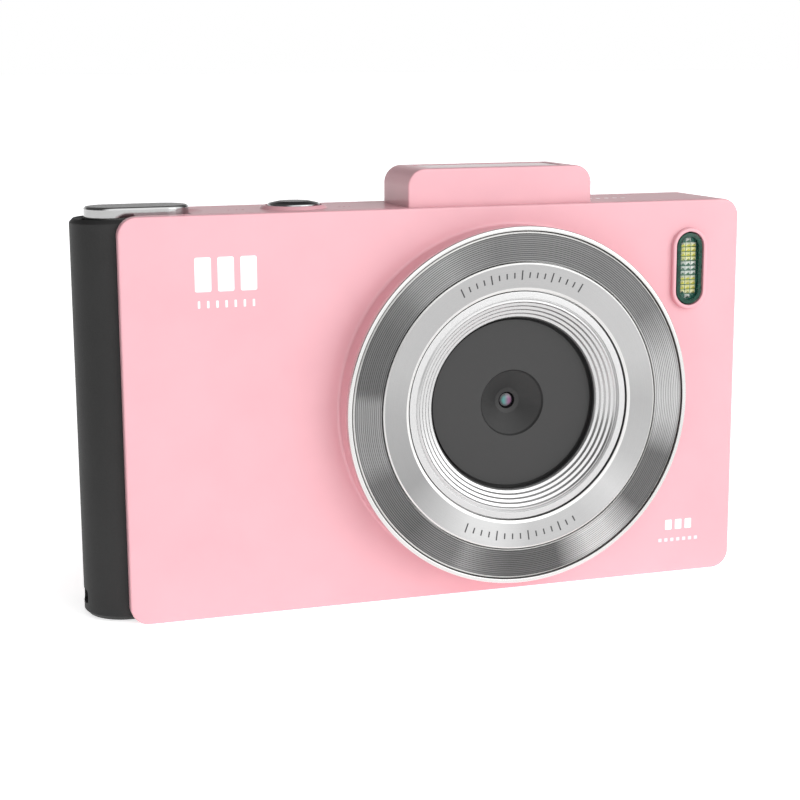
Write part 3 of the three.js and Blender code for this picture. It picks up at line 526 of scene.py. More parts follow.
# Darkened chrome for the button tops: painted shade standing for the dim reflection they show.
CHROME_TOP_SHADE = surface(
    "chrome_top_painted_shade", (0.34, 0.34, 0.34), (0.40, 0.40, 0.40), (0.14, 0.24), 0.3, 0.003, metallic=1.0,
    Specular_Tint=(0.30, 0.30, 0.30, 1.0))
DARK_PLASTIC = surface(
    "dark_plastic", (0.018, 0.018, 0.019), (0.030, 0.030, 0.032), (0.5, 0.65), 0.2, 0.01)
STEEL = surface(
    "brushed_steel", (0.38, 0.39, 0.40), (0.52, 0.53, 0.55), (0.25, 0.42), 0.15, 0.004, metallic=1.0)
BRASS = surface(
    "worn_brass", (0.46, 0.31, 0.12), (0.62, 0.43, 0.19), (0.25, 0.45), 0.2, 0.006, metallic=1.0)
SILICONE = surface("silicone_sheet", (0.45, 0.46, 0.48), (0.55, 0.56, 0.58), (0.6, 0.75), 0.15, 0.006)
WRAP = surface("cell_wrap", (0.020, 0.065, 0.20), (0.030, 0.085, 0.26), (0.32, 0.45), 0.5, 0.006)
KEY_GREY = surface("key_plastic", (0.60, 0.60, 0.63), (0.66, 0.66, 0.69), (0.32, 0.42), 0.12, 0.004)
PRINT = surface("white_print", (0.86, 0.86, 0.86), (0.95, 0.95, 0.95), (0.45, 0.6), 0.08, 0.002)
FAINT_PRINT = surface("faint_print", (0.93, 0.66, 0.71), (0.95, 0.72, 0.76), (0.45, 0.6), 0.08, 0.002)
# Black fill of the engraved and printed marks, also used as painted shade under the lens rings and on the
# cone's inner lip.
ENGRAVED_AND_PAINTED_SHADE = surface("engraved_fill_and_painted_shade", (0.030, 0.030, 0.032), (0.050, 0.050, 0.052), (0.5, 0.7), 0.08, 0.003)


def compute(tree, operation, *values):
    inputs = dict(enumerate(values))
    return add_node(tree, "ShaderNodeMath", inputs, operation=operation).outputs[0]


def beside(tree, place, at):
    """How far to the right of a point of the object, and how far above it, in metres."""
    offset = add_node(tree, "ShaderNodeVectorMath", {0: place, 1: at * MM}, operation="SUBTRACT")
    parts = add_node(tree, "ShaderNodeSeparateXYZ", {0: offset.outputs[0]}).outputs
    return parts["X"], parts["Z"]


def distance(tree, across, up):
    squares = [compute(tree, "MULTIPLY", side, side) for side in (across, up)]
    return compute(tree, "SQRT", compute(tree, "ADD", *squares))


def ramp(tree, value, stops):
    """A grey ramp through (place, brightness) stops."""
    node = add_node(tree, "ShaderNodeValToRGB", {0: value})
    elements = node.color_ramp.elements
    while len(elements) > 1:
        elements.remove(elements[-1])
    for i, (at, grey) in enumerate(stops):
        element = elements[0] if i == 0 else elements.new(at)
        element.position = at
        element.color = (grey, grey, grey, 1)
    return node.outputs[0]


# Painted reflections: brightness of the turned and the flat ring against the angle, in degrees
# anticlockwise from the right.
TURNED_PAINTED_SHEEN = (
    (0, 0.58), (15, 0.50), (25, 0.34), (34, 0.22), (60, 0.19), (100, 0.19), (112, 0.25),
    (119, 0.31), (131, 0.28), (139, 0.19), (150, 0.15), (171, 0.15), (175, 0.30), (197, 0.30),
    (204, 0.18), (225, 0.15), (233, 0.20), (243, 0.22), (248, 0.32), (257, 0.20),
    (266, 0.15), (284, 0.15), (290, 0.40), (297, 0.68), (305, 0.70), (313, 0.44), (319, 0.18),
    (339, 0.18), (345, 0.38), (352, 0.54), (360, 0.58),
)
FLAT_PAINTED_SHEEN = (
    (0, 0.95), (20, 1.15), (50, 1.17), (90, 1.08), (130, 1.05), (160, 0.99), (180, 0.79), (212, 0.56),
    (232, 0.80), (245, 0.99), (258, 1.01), (275, 0.81), (300, 0.91), (318, 1.18), (335, 0.97), (360, 0.95),
)


def round_the_lens(tree, place):
    """Distance from the lens axis in metres, and the angle about it as a share of a turn."""
    x, z = beside(tree, place, LENS_AT)
    turns = compute(tree, "DIVIDE", compute(tree, "ARCTAN2", z, x), math.tau)
    return distance(tree, x, z), compute(tree, "FRACT", compute(tree, "ADD", turns, 1.0))


def turning_marks(tree, radius, feature, detail):
    """Noise that changes only with the distance from the lens axis."""
    along = add_node(tree, "ShaderNodeCombineXYZ", {0: radius}).outputs[0]
    return noise(tree, along, feature, detail)


def fans(tree, share, sheen):
    return ramp(tree, share, [(degrees / 360, level) for degrees, level in sheen])


def turned_metal():
    """Face turned on a lathe: rings of fine lines with painted shade in their grooves, and painted fans of
    reflected light across them.
    """
    material, tree, shader, place = new_material("turned_metal")
    radius, share = round_the_lens(tree, place)
    wave = compute(tree, "SINE", compute(tree, "MULTIPLY", radius, math.tau / (TURNED_PITCH * MM)))
    uneven = turning_marks(tree, radius, 0.5, 3.0)
    lines = compute(tree, "MULTIPLY_ADD", wave, 0.42, uneven)
    # Painted shade in the grooves, painted highlight on the crests, then painted fans of reflected light
    # across them.
    shade = between(tree, ranged(tree, lines, 0, 1, 0.1, 0.9), (0.46,) * 3, (0.94,) * 3)
    tone = mixed(tree, 1.0, fans(tree, share, TURNED_PAINTED_SHEEN), shade, "MULTIPLY")
    dressed(tree, shader, tone, lines, (0.16, 0.30), 0.004, Metallic=1.0)
    return material


def satin_metal(name, dark, light, rough, sheen=None, metallic=1.0):
    """Bead-blasted face with faint turning marks, and painted fans of reflected light where a sheen is
    given.
    """
    material, tree, shader, place = new_material(name)
    radius, share = round_the_lens(tree, place)
    lines = turning_marks(tree, radius, 0.15, 2.0)
    grain = noise(tree, place, 0.08, 3.0)
    both = compute(tree, "MULTIPLY_ADD", lines, 0.4, compute(tree, "MULTIPLY", grain, 0.6))
    tone = between(tree, ranged(tree, both, 0, 1), dark, light)
    if sheen:
        # Painted reflections: fans of light multiplied into the colour.
        tone = mixed(tree, 1.0, fans(tree, share, sheen), tone, "MULTIPLY")
    dressed(tree, shader, tone, both, rough, 0.006, Metallic=metallic)
    return material


def glass_with_painted_glint():
    """Dark front element with a painted reflection, teal to one side and violet to the other, and darker
    towards its rim.
    """
    material, tree, shader, place = new_material("front_element_glass")
    x, z = beside(tree, place, LENS_AT)
    reach = size("lens_glass").x / 2 * MM
    # Painted reflection: teal on the left, violet on the right.
    across = eased_range(tree, x, 0.0, 1.0, -0.5 * reach, 0.5 * reach)
    painted_glint = between(tree, across, (0.05, 0.24, 0.22), (0.20, 0.05, 0.15))
    edge = eased_range(tree, distance(tree, x, z), 0.0, 1.0, 0.35 * reach, 0.85 * reach)
    tone = mixed(tree, edge, painted_glint, solid_colour((0.012, 0.010, 0.014)))
    smudge = noise(tree, place, 0.8, 3.0)
    dressed(
        tree, shader, tone, smudge, (0.04, 0.10), 0.002, Coat_Weight=0.3, Coat_Roughness=0.02)
    return material


def clear_pane():
    """Clear moulded pane: thin in the middle, green and dense at its rim."""
    material, tree, shader, place = new_material("clear_pane")
    pane = size("flash_window")
    reach = (pane.z - pane.x) / 2 * MM
    radius = pane.x / 2 * MM
    x, z = beside(tree, place, mid("flash_window"))
    past = compute(tree, "SUBTRACT", compute(tree, "ABSOLUTE", z), reach)
    from_middle = distance(tree, x, compute(tree, "MAXIMUM", past, 0.0))
    rim = ranged(tree, from_middle, 0.0, 1.0, radius * 0.67, radius * 0.74)
    streak = noise(tree, place, 0.5, 2.0)
    tone = between(tree, ranged(tree, streak, 0, 1), (0.004, 0.028, 0.019), (0.014, 0.075, 0.050))
    tree.links.new(ranged(tree, rim, 0.06, 0.94, 0.0, 1.0), shader.inputs["Alpha"])
    dressed(tree, shader, tone, streak, (0.02, 0.07), 0.01, Specular_IOR_Level=0.3)
    return material


def circuit_board():
    """Green solder mask with copper tracks under it."""
    material, tree, shader, place = new_material("circuit_board")
    tracks = add_node(tree, "ShaderNodeTexVoronoi", {
        "Vector": place, "Scale": 1 / (1.6 * MM), "Randomness": 0.35,
    }, distance="MANHATTAN", feature="DISTANCE_TO_EDGE").outputs["Distance"]
    line = ranged(tree, tracks, 1.0, 0.0, 0.04, 0.12)
    tone = between(tree, line, (0.010, 0.085, 0.045), (0.035, 0.20, 0.09))
    dressed(tree, shader, tone, noise(tree, place, 0.2), (0.35, 0.5), 0.03, height=line)
    return material


def screen_glass():
    """Black glass whose live area shows slightly bluer and duller than its border."""
    material, tree, shader, place = new_material("screen_glass")
    border = 3.2
    half_x = (size("lcd_window").x / 2 - border) * MM
    half_z = (size("lcd_window").z / 2 - border) * MM
    x, z = beside(tree, place, mid("lcd_window"))
    in_x = compute(tree, "LESS_THAN", compute(tree, "ABSOLUTE", x), half_x)
    in_z = compute(tree, "LESS_THAN", compute(tree, "ABSOLUTE", z), half_z)
    live = compute(tree, "MULTIPLY", in_x, in_z)
    tone = between(tree, live, (0.004, 0.004, 0.005), (0.014, 0.016, 0.020))
    smudge = noise(tree, place, 6.0, 4.0)
    worn = mixed(tree, ranged(tree, smudge, 0.0, 0.06), tone, solid_colour((0.2, 0.2, 0.2)))
    dressed(tree, shader, worn, smudge, (0.03, 0.10), 0.001, height=noise(tree, place, 0.4))
    return material


def facet_mirror(name, plain, banded):
    """Small mirror facets, of the second tone in two bands above and below the middle."""
    material, tree, shader, place = new_material(name)
    away = compute(tree, "ABSOLUTE", beside(tree, place, mid("flash_window"))[1])
    start = eased_range(tree, away, 0.0, 1.0, 1.0 * MM, 1.8 * MM)
    stop = eased_range(tree, away, 1.0, 0.0, 3.6 * MM, 4.4 * MM)
    tone = between(tree, compute(tree, "MULTIPLY", start, stop), plain, banded)
    dressed(tree, shader, tone, noise(tree, place, 0.3, 3.0), (0.14, 0.30), 0.006, Metallic=0.25)
    return material


TURNED = turned_metal()
# The flat ring's face carries painted fans of reflected light.
SATIN = satin_metal("satin_ring_metal", (0.34,) * 3, (0.42,) * 3, (0.34, 0.46), FLAT_PAINTED_SHEEN)
CONE_METAL = satin_metal("bright_cone_metal", (0.51,) * 3, (0.60,) * 3, (0.24, 0.34))
LENS_BLACK = satin_metal("lens_plate_black", (0.021,) * 3, (0.027,) * 3, (0.5, 0.65), metallic=0.0)
EYE_BLACK = satin_metal("lens_eye_black", (0.011,) * 3, (0.016,) * 3, (0.45, 0.6), metallic=0.0)
GLASS = glass_with_painted_glint()
PANE = clear_pane()
BOARD = circuit_board()
SCREEN = screen_glass()
FACET = facet_mirror("facet_mirror", (0.88, 0.92, 0.88), (0.90, 0.90, 0.52))
# Darker copy of the facets for their lower faces: painted shade.
FACET_UNDER_SHADE = facet_mirror("facet_underside_painted_shade", (0.10, 0.20, 0.14), (0.62, 0.60, 0.10))
TRAY_GREEN = surface("tray_green", (0.008, 0.05, 0.035), (0.03, 0.14, 0.10), (0.15, 0.3), 0.4, 0.004)


# ---------- front panel with the lens base and the light's rim ----------
FLASH = mid("flash_window")
FLASH_W = size("flash_window").x
FLASH_H = size("flash_window").z
FLASH_PROUD = 0.8
SEAT_IN, SEAT_OUT, SEAT_TOP = 24.8, 26.0, 3.1
MOUTH_R = 8.6
FOOT_FILLET = 1.0                # where the lens base meets the panel
FLASH_RIM_OUT, FLASH_RIM_IN = 0.85, 0.2
BOARD_POSTS = [mid(f"screw_board_{i}") for i in (1, 2, 3)]
POST_R = 2.0
POST_BORE = 1.1
POST_BORE_END = FACE + 6
POST_END = low("main_board").y - GAP
OVERRUN = 0.01                   # keeps a rounded edge's last loop off the one before it
BACK_EASE = 0.15                 # eased edge on the hidden side of a panel


def panel_outline(grow):
    return rounded_rect(
        MIDDLE.x, MIDDLE.z, PANEL_W + 2 * grow, TOP + 2 * grow, PANEL_R + grow, 12)


def flash_outline(grow):
    return stadium(FLASH.x, FLASH.z, FLASH_W + 2 * grow, FLASH_H + 2 * grow, 24)


def front_panel():
    shell = Shell()
    back = FACE + PANEL_T
    fillet = PANEL_FILLET
    edge = eased([
        (-fillet - OVERRUN, FACE), (0, FACE, fillet), (0, back - BACK_EASE), (-BACK_EASE, back)], 8)
    face_edge, back_edge = shell.rise(panel_outline, edge, "y")
    base = eased([
        (BASE_R + FOOT_FILLET, 0), (BASE_R, 0.0, FOOT_FILLET), (BASE_R, BASE_TOP, 0.3),
        (BASE_R - WALL, BASE_TOP), (BASE_R - WALL, 0), (SEAT_OUT, 0), (SEAT_OUT, SEAT_TOP),
        (SEAT_IN, SEAT_TOP), (SEAT_IN, 0), (MOUTH_R, 0, 0.2), (MOUTH_R, -PANEL_T),
    ], 6)
    base_foot, mouth = shell.turn(base, LENS_AT, FORWARD, 192)
    rim = eased([
        (FLASH_RIM_OUT + 0.2, FACE), (FLASH_RIM_OUT, FACE, 0.2),
        (FLASH_RIM_OUT, FACE - FLASH_PROUD, 0.35), (FLASH_RIM_IN, FACE - FLASH_PROUD, 0.15),
        (FLASH_RIM_IN, back),
    ], 4)
    rim_foot, rim_back = shell.rise(flash_outline, rim, "y")
    post_path = [
        (POST_R, back), (POST_R, POST_END), (POST_BORE, POST_END),
        (POST_BORE, POST_BORE_END), (0, POST_BORE_END)]
    posts = [
        shell.turn(post_path, Vector((post.x, 0, post.z)), BACKWARD, 24)[0] for post in BOARD_POSTS]
    shell.cap(face_edge, base_foot, rim_foot)
    shell.cap(back_edge, mouth, rim_back, *posts)

    # The base's top under the rings is painted black: painted shade in the gaps between the rings.
    def painted_shade_under_rings(point):
        radius, height = from_lens(point)
        return radius < BASE_R - 0.2 and height > BASE_TOP - 0.1

    finished(
        "front_panel", shell, [PINK, ENGRAVED_AND_PAINTED_SHADE], "front_cover", second=painted_shade_under_rings)


front_panel()


# ---------- pink frame with the raised box ----------
SPLIT_X = low("mid_frame").x
HUMP = mid("hump_plate")
HUMP_W = 30.8
HUMP_TOP = high("mid_frame").z
HUMP_R = 2.8
HUMP_FILLET = 0.6
HUMP_BACK_R = 1.2
PLATE_SEAT = 1.1                 # depth of the recess in the raised box that holds its plate
PLATE_BACKING = 2.4              # and of the solid under it
SHUTTER = mid("shutter_button")
SHUTTER_W = size("shutter_button").x - 1.0
SHUTTER_D = size("shutter_button").y
POWER = mid("power_button")
POWER_R = 4.1
POWER_RING_FOOT, POWER_RING_LIP, POWER_RING_H = 5.3, 4.75, 0.5
DOOR_LOW = low("battery_door")
DOOR_HIGH = high("battery_door")
PIN = mid("door_pin")
PIN_R = size("door_pin").x / 2
PIN_LUG_W, PIN_LUG_T = 3.2, 1.2  # lugs that hold the door's pin
TRIPOD = mid("tripod_nut")
TRIPOD_R = size("tripod_nut").x / 2
TRIPOD_BOSS_R = 5.2
USB = mid("usb_socket")
USB_SLOT = (3.6, 9.4)
CARD = mid("memory_card")
CARD_SLOT_W = 1.4
BOTTOM_SCREWS = [mid("screw_bottom_1"), mid("screw_bottom_2")]
SIDE_SCREWS = [mid("screw_side_1"), mid("screw_side_2")]
HEAD_R = 2.1                     # hole for a screw's head
SCREW_BORE = 1.1
SCREW_BORE_END = 5
SCREW_BOSS_R = 2.9
BOTTOM_SEAT, BOTTOM_BOSS = 1.3, 4.7
SIDE_SEAT, SIDE_BOSS = 1.35, 4.65
SLOT_END = 4.85                  # how deep the two slots cut into the right side
MIC = mid("microphone")
SPEAKER = mid("speaker")
MIC_HOLES = [MIC.x - 0.8, MIC.x, MIC.x + 0.8]
SPEAKER_HOLES = [SPEAKER.x - 0.4, SPEAKER.x + 0.9, SPEAKER.x + 1.9]
SOUND_HOLE_R = 0.28
THROUGH = 5                      # how far a cutting solid runs past what it cuts


def frame_outline(inset):
    x0 = SPLIT_X - (THROUGH if inset else 0)
    x1 = RIGHT - inset
    z0 = inset
    z1 = TOP - inset
    r = PANEL_R - inset / 2
    return (
        [(x0, z0)] + arc(x1 - r, z0 + r, r, -1, 0, 12) + arc(x1 - r, z1 - r, r, 0, 1, 12) + [(x0, z1)]
    )


def raised_box(inset):
    """The box above the lens, or the hollow inside it."""
    foot = TOP - 5
    top = HUMP_TOP - inset

    def outline(grow):
        width = HUMP_W - 2 * inset + 2 * grow
        height = top - foot + 2 * grow
        return rounded_rect(HUMP.x, (top + foot) / 2, width, height, HUMP_R - inset / 2 + grow, 12)

    front = FRAME_FRONT + inset
    back = FRAME_BACK - inset
    f = HUMP_FILLET if inset == 0 else 0.1
    b = HUMP_BACK_R if inset == 0 else 0.1
    path = eased([(-f - OVERRUN, front), (0, front, f), (0, back, b), (-b - OVERRUN, back)], 8)
    shell = Shell()
    return shell.close(*shell.rise(outline, path, "y")).clean()


def shutter_outline(grow):
    return stadium(SHUTTER.x, SHUTTER.y, SHUTTER_W + 2 * grow, SHUTTER_D + 2 * grow)


def shutter_well(surface_z):
    """Shallow dish round the shutter button, with a straight well below it."""
    shell = Shell()
    path = eased([
        (BUTTON_GAP, surface_z - 6), (BUTTON_GAP, surface_z - 0.35, 0.1),
        (BUTTON_GAP + 1.8, surface_z, 0.3), (BUTTON_GAP + 2.4, surface_z + 1.2),
    ], 4)
    return shell.close(*shell.rise(shutter_outline, path, "z")).clean()


def screw_hole(seat, way):
    """Outline of a case screw's hole: its head's seat, then a narrower bore."""
    return [
        (0, -way), (HEAD_R, -way), (HEAD_R, seat * way), (SCREW_BORE, seat * way),
        (SCREW_BORE, SCREW_BORE_END * way), (0, SCREW_BORE_END * way)]


def mid_frame():
    outer = prism(frame_outline(0), FRAME_FRONT, FRAME_BACK, "y")
    inner = prism(frame_outline(WALL), FRAME_FRONT - THROUGH, FRAME_BACK + THROUGH, "y")
    body = combined(outer, [raised_box(0)], [raised_box(WALL), inner])
    above = Vector((POWER.x, POWER.y, TOP))
    power_ring = lathe(eased([
        (0, -POWER_RING_H), (POWER_RING_FOOT, -POWER_RING_H), (POWER_RING_FOOT, 0.0, 0.1),
        (POWER_RING_LIP, POWER_RING_H, 0.1), (0, POWER_RING_H + 0.05)], 3), above, UPWARD)
    tripod_foot = Vector((TRIPOD.x, TRIPOD.y, 0))
    tripod_end = high("tripod_nut").z + GAP
    boss_top = tripod_end + 1.2
    joined = [
        power_ring,
        prism(plate_outline(0.9), HUMP_TOP - PLATE_BACKING, HUMP_TOP - 0.5, "z"),
        rod(tripod_foot, UPWARD, TRIPOD_BOSS_R, 1, boss_top),
    ]
    removed = [
        shutter_well(TOP),
        rod(above, UPWARD, POWER_R + BUTTON_GAP - 0.1, -4, 3, 64),
        prism(plate_outline(GAP), HUMP_TOP - PLATE_SEAT, HUMP_TOP + 1, "z"),
        block(DOOR_LOW.x - GAP, DOOR_HIGH.x + GAP, DOOR_LOW.y - GAP, DOOR_HIGH.y + GAP, -1, 3),
        rod(tripod_foot, UPWARD, TRIPOD_R + GAP, -1, tripod_end, 48),
        rod(Vector((PIN.x, 0, PIN.z)), BACKWARD, PIN_R + GAP, FRAME_FRONT + 0.2, PIN.y + 5.5),
    ]
    for screw in BOTTOM_SCREWS:
        at = Vector((screw.x, screw.y, 0))
        joined.append(rod(at, UPWARD, SCREW_BOSS_R, 1, BOTTOM_BOSS))
        removed.append(lathe(screw_hole(BOTTOM_SEAT, 1), at, UPWARD, 32))
    for screw in SIDE_SCREWS:
        at = Vector((RIGHT, screw.y, screw.z))
        joined.append(rod(at, RIGHTWARD, SCREW_BOSS_R, -SIDE_BOSS, -1))
        removed.append(lathe(screw_hole(SIDE_SEAT, -1), at, RIGHTWARD, 32))
    for side in (DOOR_LOW.y - GAP - 0.9, DOOR_HIGH.y + GAP + 0.6):
        joined.append(block(
            PIN.x - PIN_LUG_W / 2, PIN.x + PIN_LUG_W / 2,
            side - PIN_LUG_T / 2, side + PIN_LUG_T / 2, 1, 2.8))
    usb_slot = stadium(USB.y, USB.z, *USB_SLOT, 12)
    removed.append(prism(usb_slot, RIGHT - SLOT_END, RIGHT + 1, "x"))
    card_slot = rounded_rect(CARD.y, CARD.z, CARD_SLOT_W, size("memory_card").z + 2 * GAP, 0.3, 3)
    removed.append(prism(card_slot, RIGHT - SLOT_END, RIGHT + 1, "x"))
    for x in (*MIC_HOLES, *SPEAKER_HOLES):
        removed.append(rod(Vector((x, MIC.y, TOP)), UPWARD, SOUND_HOLE_R, -3, 1, 12))
    body = combined(body, joined)
    body = combined(body, [], removed)
    finished("pink_frame", softened(body, 0.12), PINK, "mid_frame")


def plate_outline(grow):
    plate = size("hump_plate")
    return rounded_rect(HUMP.x, HUMP.y, plate.x + 2 * grow, plate.y + 2 * grow, 0.8, 6)


def hump_plate():
    shell = Shell()
    path = eased([
        (-0.2, low("hump_plate").z), (0, low("hump_plate").z, 0.1),
        (0, high("hump_plate").z, 0.15), (-0.3, high("hump_plate").z)], 3)
    for end in shell.rise(plate_outline, path, "z"):
        shell.cap(end)
    finished("raised_box_plate", shell, PLATE_PINK, "hump_plate")


mid_frame()
hump_plate()


# ---------- rear panel ----------
LCD = mid("lcd_window")
LCD_SIZE = size("lcd_window")
KEY_NAMES = [n for n in sorted(frame["nodes"]) if n.startswith("key_") and n != "key_membrane"]
KEY_R = 2.8
KEY_DISH = 0.05                  # how far a key's face lies below its edge
FLANGE_T = 0.8                   # flange that keeps a key or a button in its hole
LAMP = mid("status_lamp")
LAMP_R = size("status_lamp").x / 2
REAR_FILLET = 1.0
SCREEN_SINK = 1.35               # depth of the recess that holds the screen's glass
SCREEN_LEDGE = 1.5               # width of the ledge under its edge


def rear_panel():
    shell = Shell()
    edge = eased([
        (-BACK_EASE, REAR_INNER), (0, REAR_INNER + BACK_EASE), (0, REAR_FACE, REAR_FILLET),
        (-REAR_FILLET - OVERRUN, REAR_FACE)], 8)
    front_edge, back_edge = shell.rise(panel_outline, edge, "y")

    def screen_outline(grow):
        r = 1.5 if grow > -1 else 0.8
        return rounded_rect(LCD.x, LCD.z, LCD_SIZE.x + 2 * grow, LCD_SIZE.z + 2 * grow, r, 6)

    recess = eased([
        (GAP + 0.2, REAR_FACE), (GAP, REAR_FACE, 0.1), (GAP, REAR_FACE - SCREEN_SINK),
        (-SCREEN_LEDGE, REAR_FACE - SCREEN_SINK), (-SCREEN_LEDGE, REAR_INNER)], 3)
    holes = [shell.rise(screen_outline, recess, "y")]
    for at, radius in [(mid(node), KEY_R) for node in KEY_NAMES] + [(LAMP, LAMP_R)]:
        bore = radius + GAP
        path = eased([(bore + 0.35, REAR_FACE), (bore, REAR_FACE, 0.3), (bore, REAR_INNER)], 4)
        holes.append(shell.turn(path, Vector((at.x, 0, at.z)), BACKWARD, 48))
    outer_holes, inner_holes = zip(*holes)
    shell.cap(back_edge, *outer_holes)
    shell.cap(front_edge, *inner_holes)
    finished("rear_panel", shell, PINK, "rear_cover")


def screen_pane():
    shell = Shell()

    def outline(grow):
        return rounded_rect(LCD.x, LCD.z, LCD_SIZE.x + 2 * grow, LCD_SIZE.z + 2 * grow, 1.2 + grow, 6)

    path = eased([
        (-0.1, low("lcd_window").y), (0, low("lcd_window").y + 0.1),
        (0, high("lcd_window").y, 0.2), (-0.3, high("lcd_window").y)], 4)
    for end in shell.rise(outline, path, "y"):
        shell.cap(end)
    finished("screen_pane", shell, SCREEN, "lcd_window")


def rear_keys():
    for node in KEY_NAMES:
        at = Vector((mid(node).x, 0, mid(node).z))
        flange_back = low(node).y
        flange_r = size(node).x / 2
        end = high(node).y
        path = eased([
            (0, flange_back), (flange_r, flange_back, 0.1), (flange_r, flange_back + FLANGE_T, 0.1),
            (KEY_R, flange_back + FLANGE_T), (KEY_R, end, 0.35), (KEY_R * 0.75, end),
            (KEY_R * 0.72, end - KEY_DISH), (0, end - KEY_DISH),
        ], 5)
        finished(f"{node}_cap", lathe(path, at, BACKWARD, 48), KEY_GREY, node)


rear_panel()
screen_pane()
rear_keys()


# ---------- grip ----------
GRIP_LOW = low("grip_cover")
GRIP_HIGH = high("grip_cover")
GRIP_R = size("grip_cover").y / 2
GRIP_Y = mid("grip_cover").y
GRIP_X = GRIP_LOW.x + GRIP_R
GRIP_CHAMFER = 0.7
STRAP = mid("strap_bar")
STRAP_BLOCK_W = 6.6              # solid block in the grip that the strap's notch is cut into
NOTCH_W, NOTCH_H = 3.8, 2.1
NOTCH_UP = 2.95                  # middle of the notch above the grip's foot


def grip_outline(grow, x_end):
    r = GRIP_R + grow
    return arc(GRIP_X, GRIP_Y, r, 1, 3, 40) + [(x_end, GRIP_Y - r), (x_end, GRIP_Y + r)]


def grip_cover():
    beyond = GRIP_HIGH.x + 2
    shell = Shell()
    c = GRIP_CHAMFER
    path = eased([
        (-c, GRIP_LOW.z), (0, GRIP_LOW.z + c, 0.3), (0, GRIP_HIGH.z - c, 0.3), (-c, GRIP_HIGH.z)], 4)
    shell.close(*shell.rise(lambda grow: grip_outline(grow, beyond), path, "z"))
    hollow = prism(grip_outline(-WALL, beyond + 1), GRIP_LOW.z + WALL, GRIP_HIGH.z - WALL, "z")
    strap_block = block(
        GRIP_LOW.x + 1.2, GRIP_LOW.x + 5.2, GRIP_Y - STRAP_BLOCK_W / 2, GRIP_Y + STRAP_BLOCK_W / 2,
        GRIP_LOW.z + 0.5, GRIP_LOW.z + 6)
    notch_outline = rounded_rect(STRAP.y, GRIP_LOW.z + NOTCH_UP, NOTCH_W, NOTCH_H, 0.5, 4)
    notch = prism(notch_outline, GRIP_LOW.x - 1, GRIP_LOW.x + 2.6, "x")
    bar_hole = rod(
        Vector((STRAP.x, STRAP.y, 0)), UPWARD, 0.8,
        low("strap_bar").z - GAP, high("strap_bar").z + GAP, 24)
    split = block(GRIP_HIGH.x, GRIP_HIGH.x + 10, -30, 30, -10, 80)
    body = combined(shell.clean(), [], [hollow])
    body = combined(body, [strap_block], [split, notch, bar_hole, shutter_well(GRIP_HIGH.z)])
    finished("black_grip", softened(body, 0.12), BLACK, "grip_cover")


grip_cover()


# ---------- top buttons ----------
def shutter_button():
    foot = low("shutter_button").z
    top = high("shutter_button").z
    flange_top = foot + FLANGE_T
    shell = Shell()
    path = eased([(-0.1, flange_top - 0.3), (0, flange_top - 0.2), (0, top, 0.4), (-1.0, top)], 6)
    shell.close(*shell.rise(shutter_outline, path, "z"))
    tabs = prism(
        stadium(SHUTTER.x, SHUTTER.y, size("shutter_button").x, SHUTTER_D / 2, 12), foot, flange_top, "z")
    # The top face takes the darkened chrome, a painted shade.
    finished(
        "shutter_cap", combined(shell.clean(), [tabs]), [CHROME, CHROME_TOP_SHADE],
        "shutter_button", second=lambda point: point.z > top - 0.03)


def power_button():
    foot = low("power_button").z
    top = high("power_button").z
    at = Vector((POWER.x, POWER.y, 0))
    flange_r = size("power_button").x / 2
    path = eased([
        (0, foot), (flange_r, foot), (flange_r, foot + FLANGE_T), (POWER_R, foot + FLANGE_T),
        (POWER_R, top - 0.42, 0.3), (POWER_R * 0.6, top - 0.06, 1.0), (0, top)], 6)
    # The top face takes the darkened chrome, a painted shade.
    finished(
        "power_cap", lathe(path, at, UPWARD, 96), [CHROME, CHROME_TOP_SHADE], "power_button",
        second=lambda point: point.z > top - 0.3)


shutter_button()
power_button()


# ---------- lens rings ----------
def lens_turned(name, path, count, surfaces, node, corner=4, second=None):
    closed = path[0][0] > 0
    profile = eased([*path, path[0]], corner)[:-1] if closed else eased(path, corner)
    shell = lathe(profile, LENS_AT, FORWARD, count)
    finished(name, shell, surfaces, node, second=second)


def rim_ring():
    inner = TURNED_OUT + RING_GAP
    lens_turned("rim", [
        (inner, BASE_TOP + GAP), (RIM_R, BASE_TOP + GAP, 0.05), (RIM_R, LENS_FRONT, 0.25),
        (inner, LENS_FRONT, 0.1),
    ], 192, RIM_METAL, "rim_ring")


TURNED_FRONT = FACE - low("turned_ring").y
LINE_DEPTH = 0.04
CUT_DROP = 0.14
RING_BACK = 4.5
CARRIER_R = SEAT_OUT + 0.4       # the outer ring steps over the cone's flange here


def turned_ring():
    shoulder = TURNED_FRONT - CUT_DROP
    outermost = TURNED_OUT - TURNED_EDGE
    innermost = TURNED_IN + CUT_IN
    path = [(TURNED_OUT, BASE_TOP + GAP), (TURNED_OUT, shoulder)]
    for i in range(TURNED_LINES):
        r = outermost - i * TURNED_PITCH
        path.append((r, TURNED_FRONT))
        path.append((r - TURNED_PITCH * 0.5, TURNED_FRONT - LINE_DEPTH))
    path += [
        (innermost, TURNED_FRONT), (TURNED_IN, shoulder), (TURNED_IN, RING_BACK),
        (CARRIER_R, RING_BACK), (CARRIER_R, BASE_TOP + GAP),
    ]

    def cut_edge(point):
        return not innermost < from_lens(point)[0] < outermost

    lens_turned(
        "turned_face_ring", path, 192, [TURNED, CUT_EDGE], "turned_ring", 2, cut_edge)


DISH_OUT = TURNED_IN - RING_GAP - 0.24
DISH_IN = 18.9
DISH_HIGH = FACE - low("flat_ring").y
DISH_LOW = DISH_HIGH - 0.7       # the ring's face dips towards the lens
FLAT_IN = 18.45


def dish_height(radius):
    return DISH_LOW + (DISH_HIGH - DISH_LOW) * (radius - DISH_IN) / (DISH_OUT - DISH_IN)


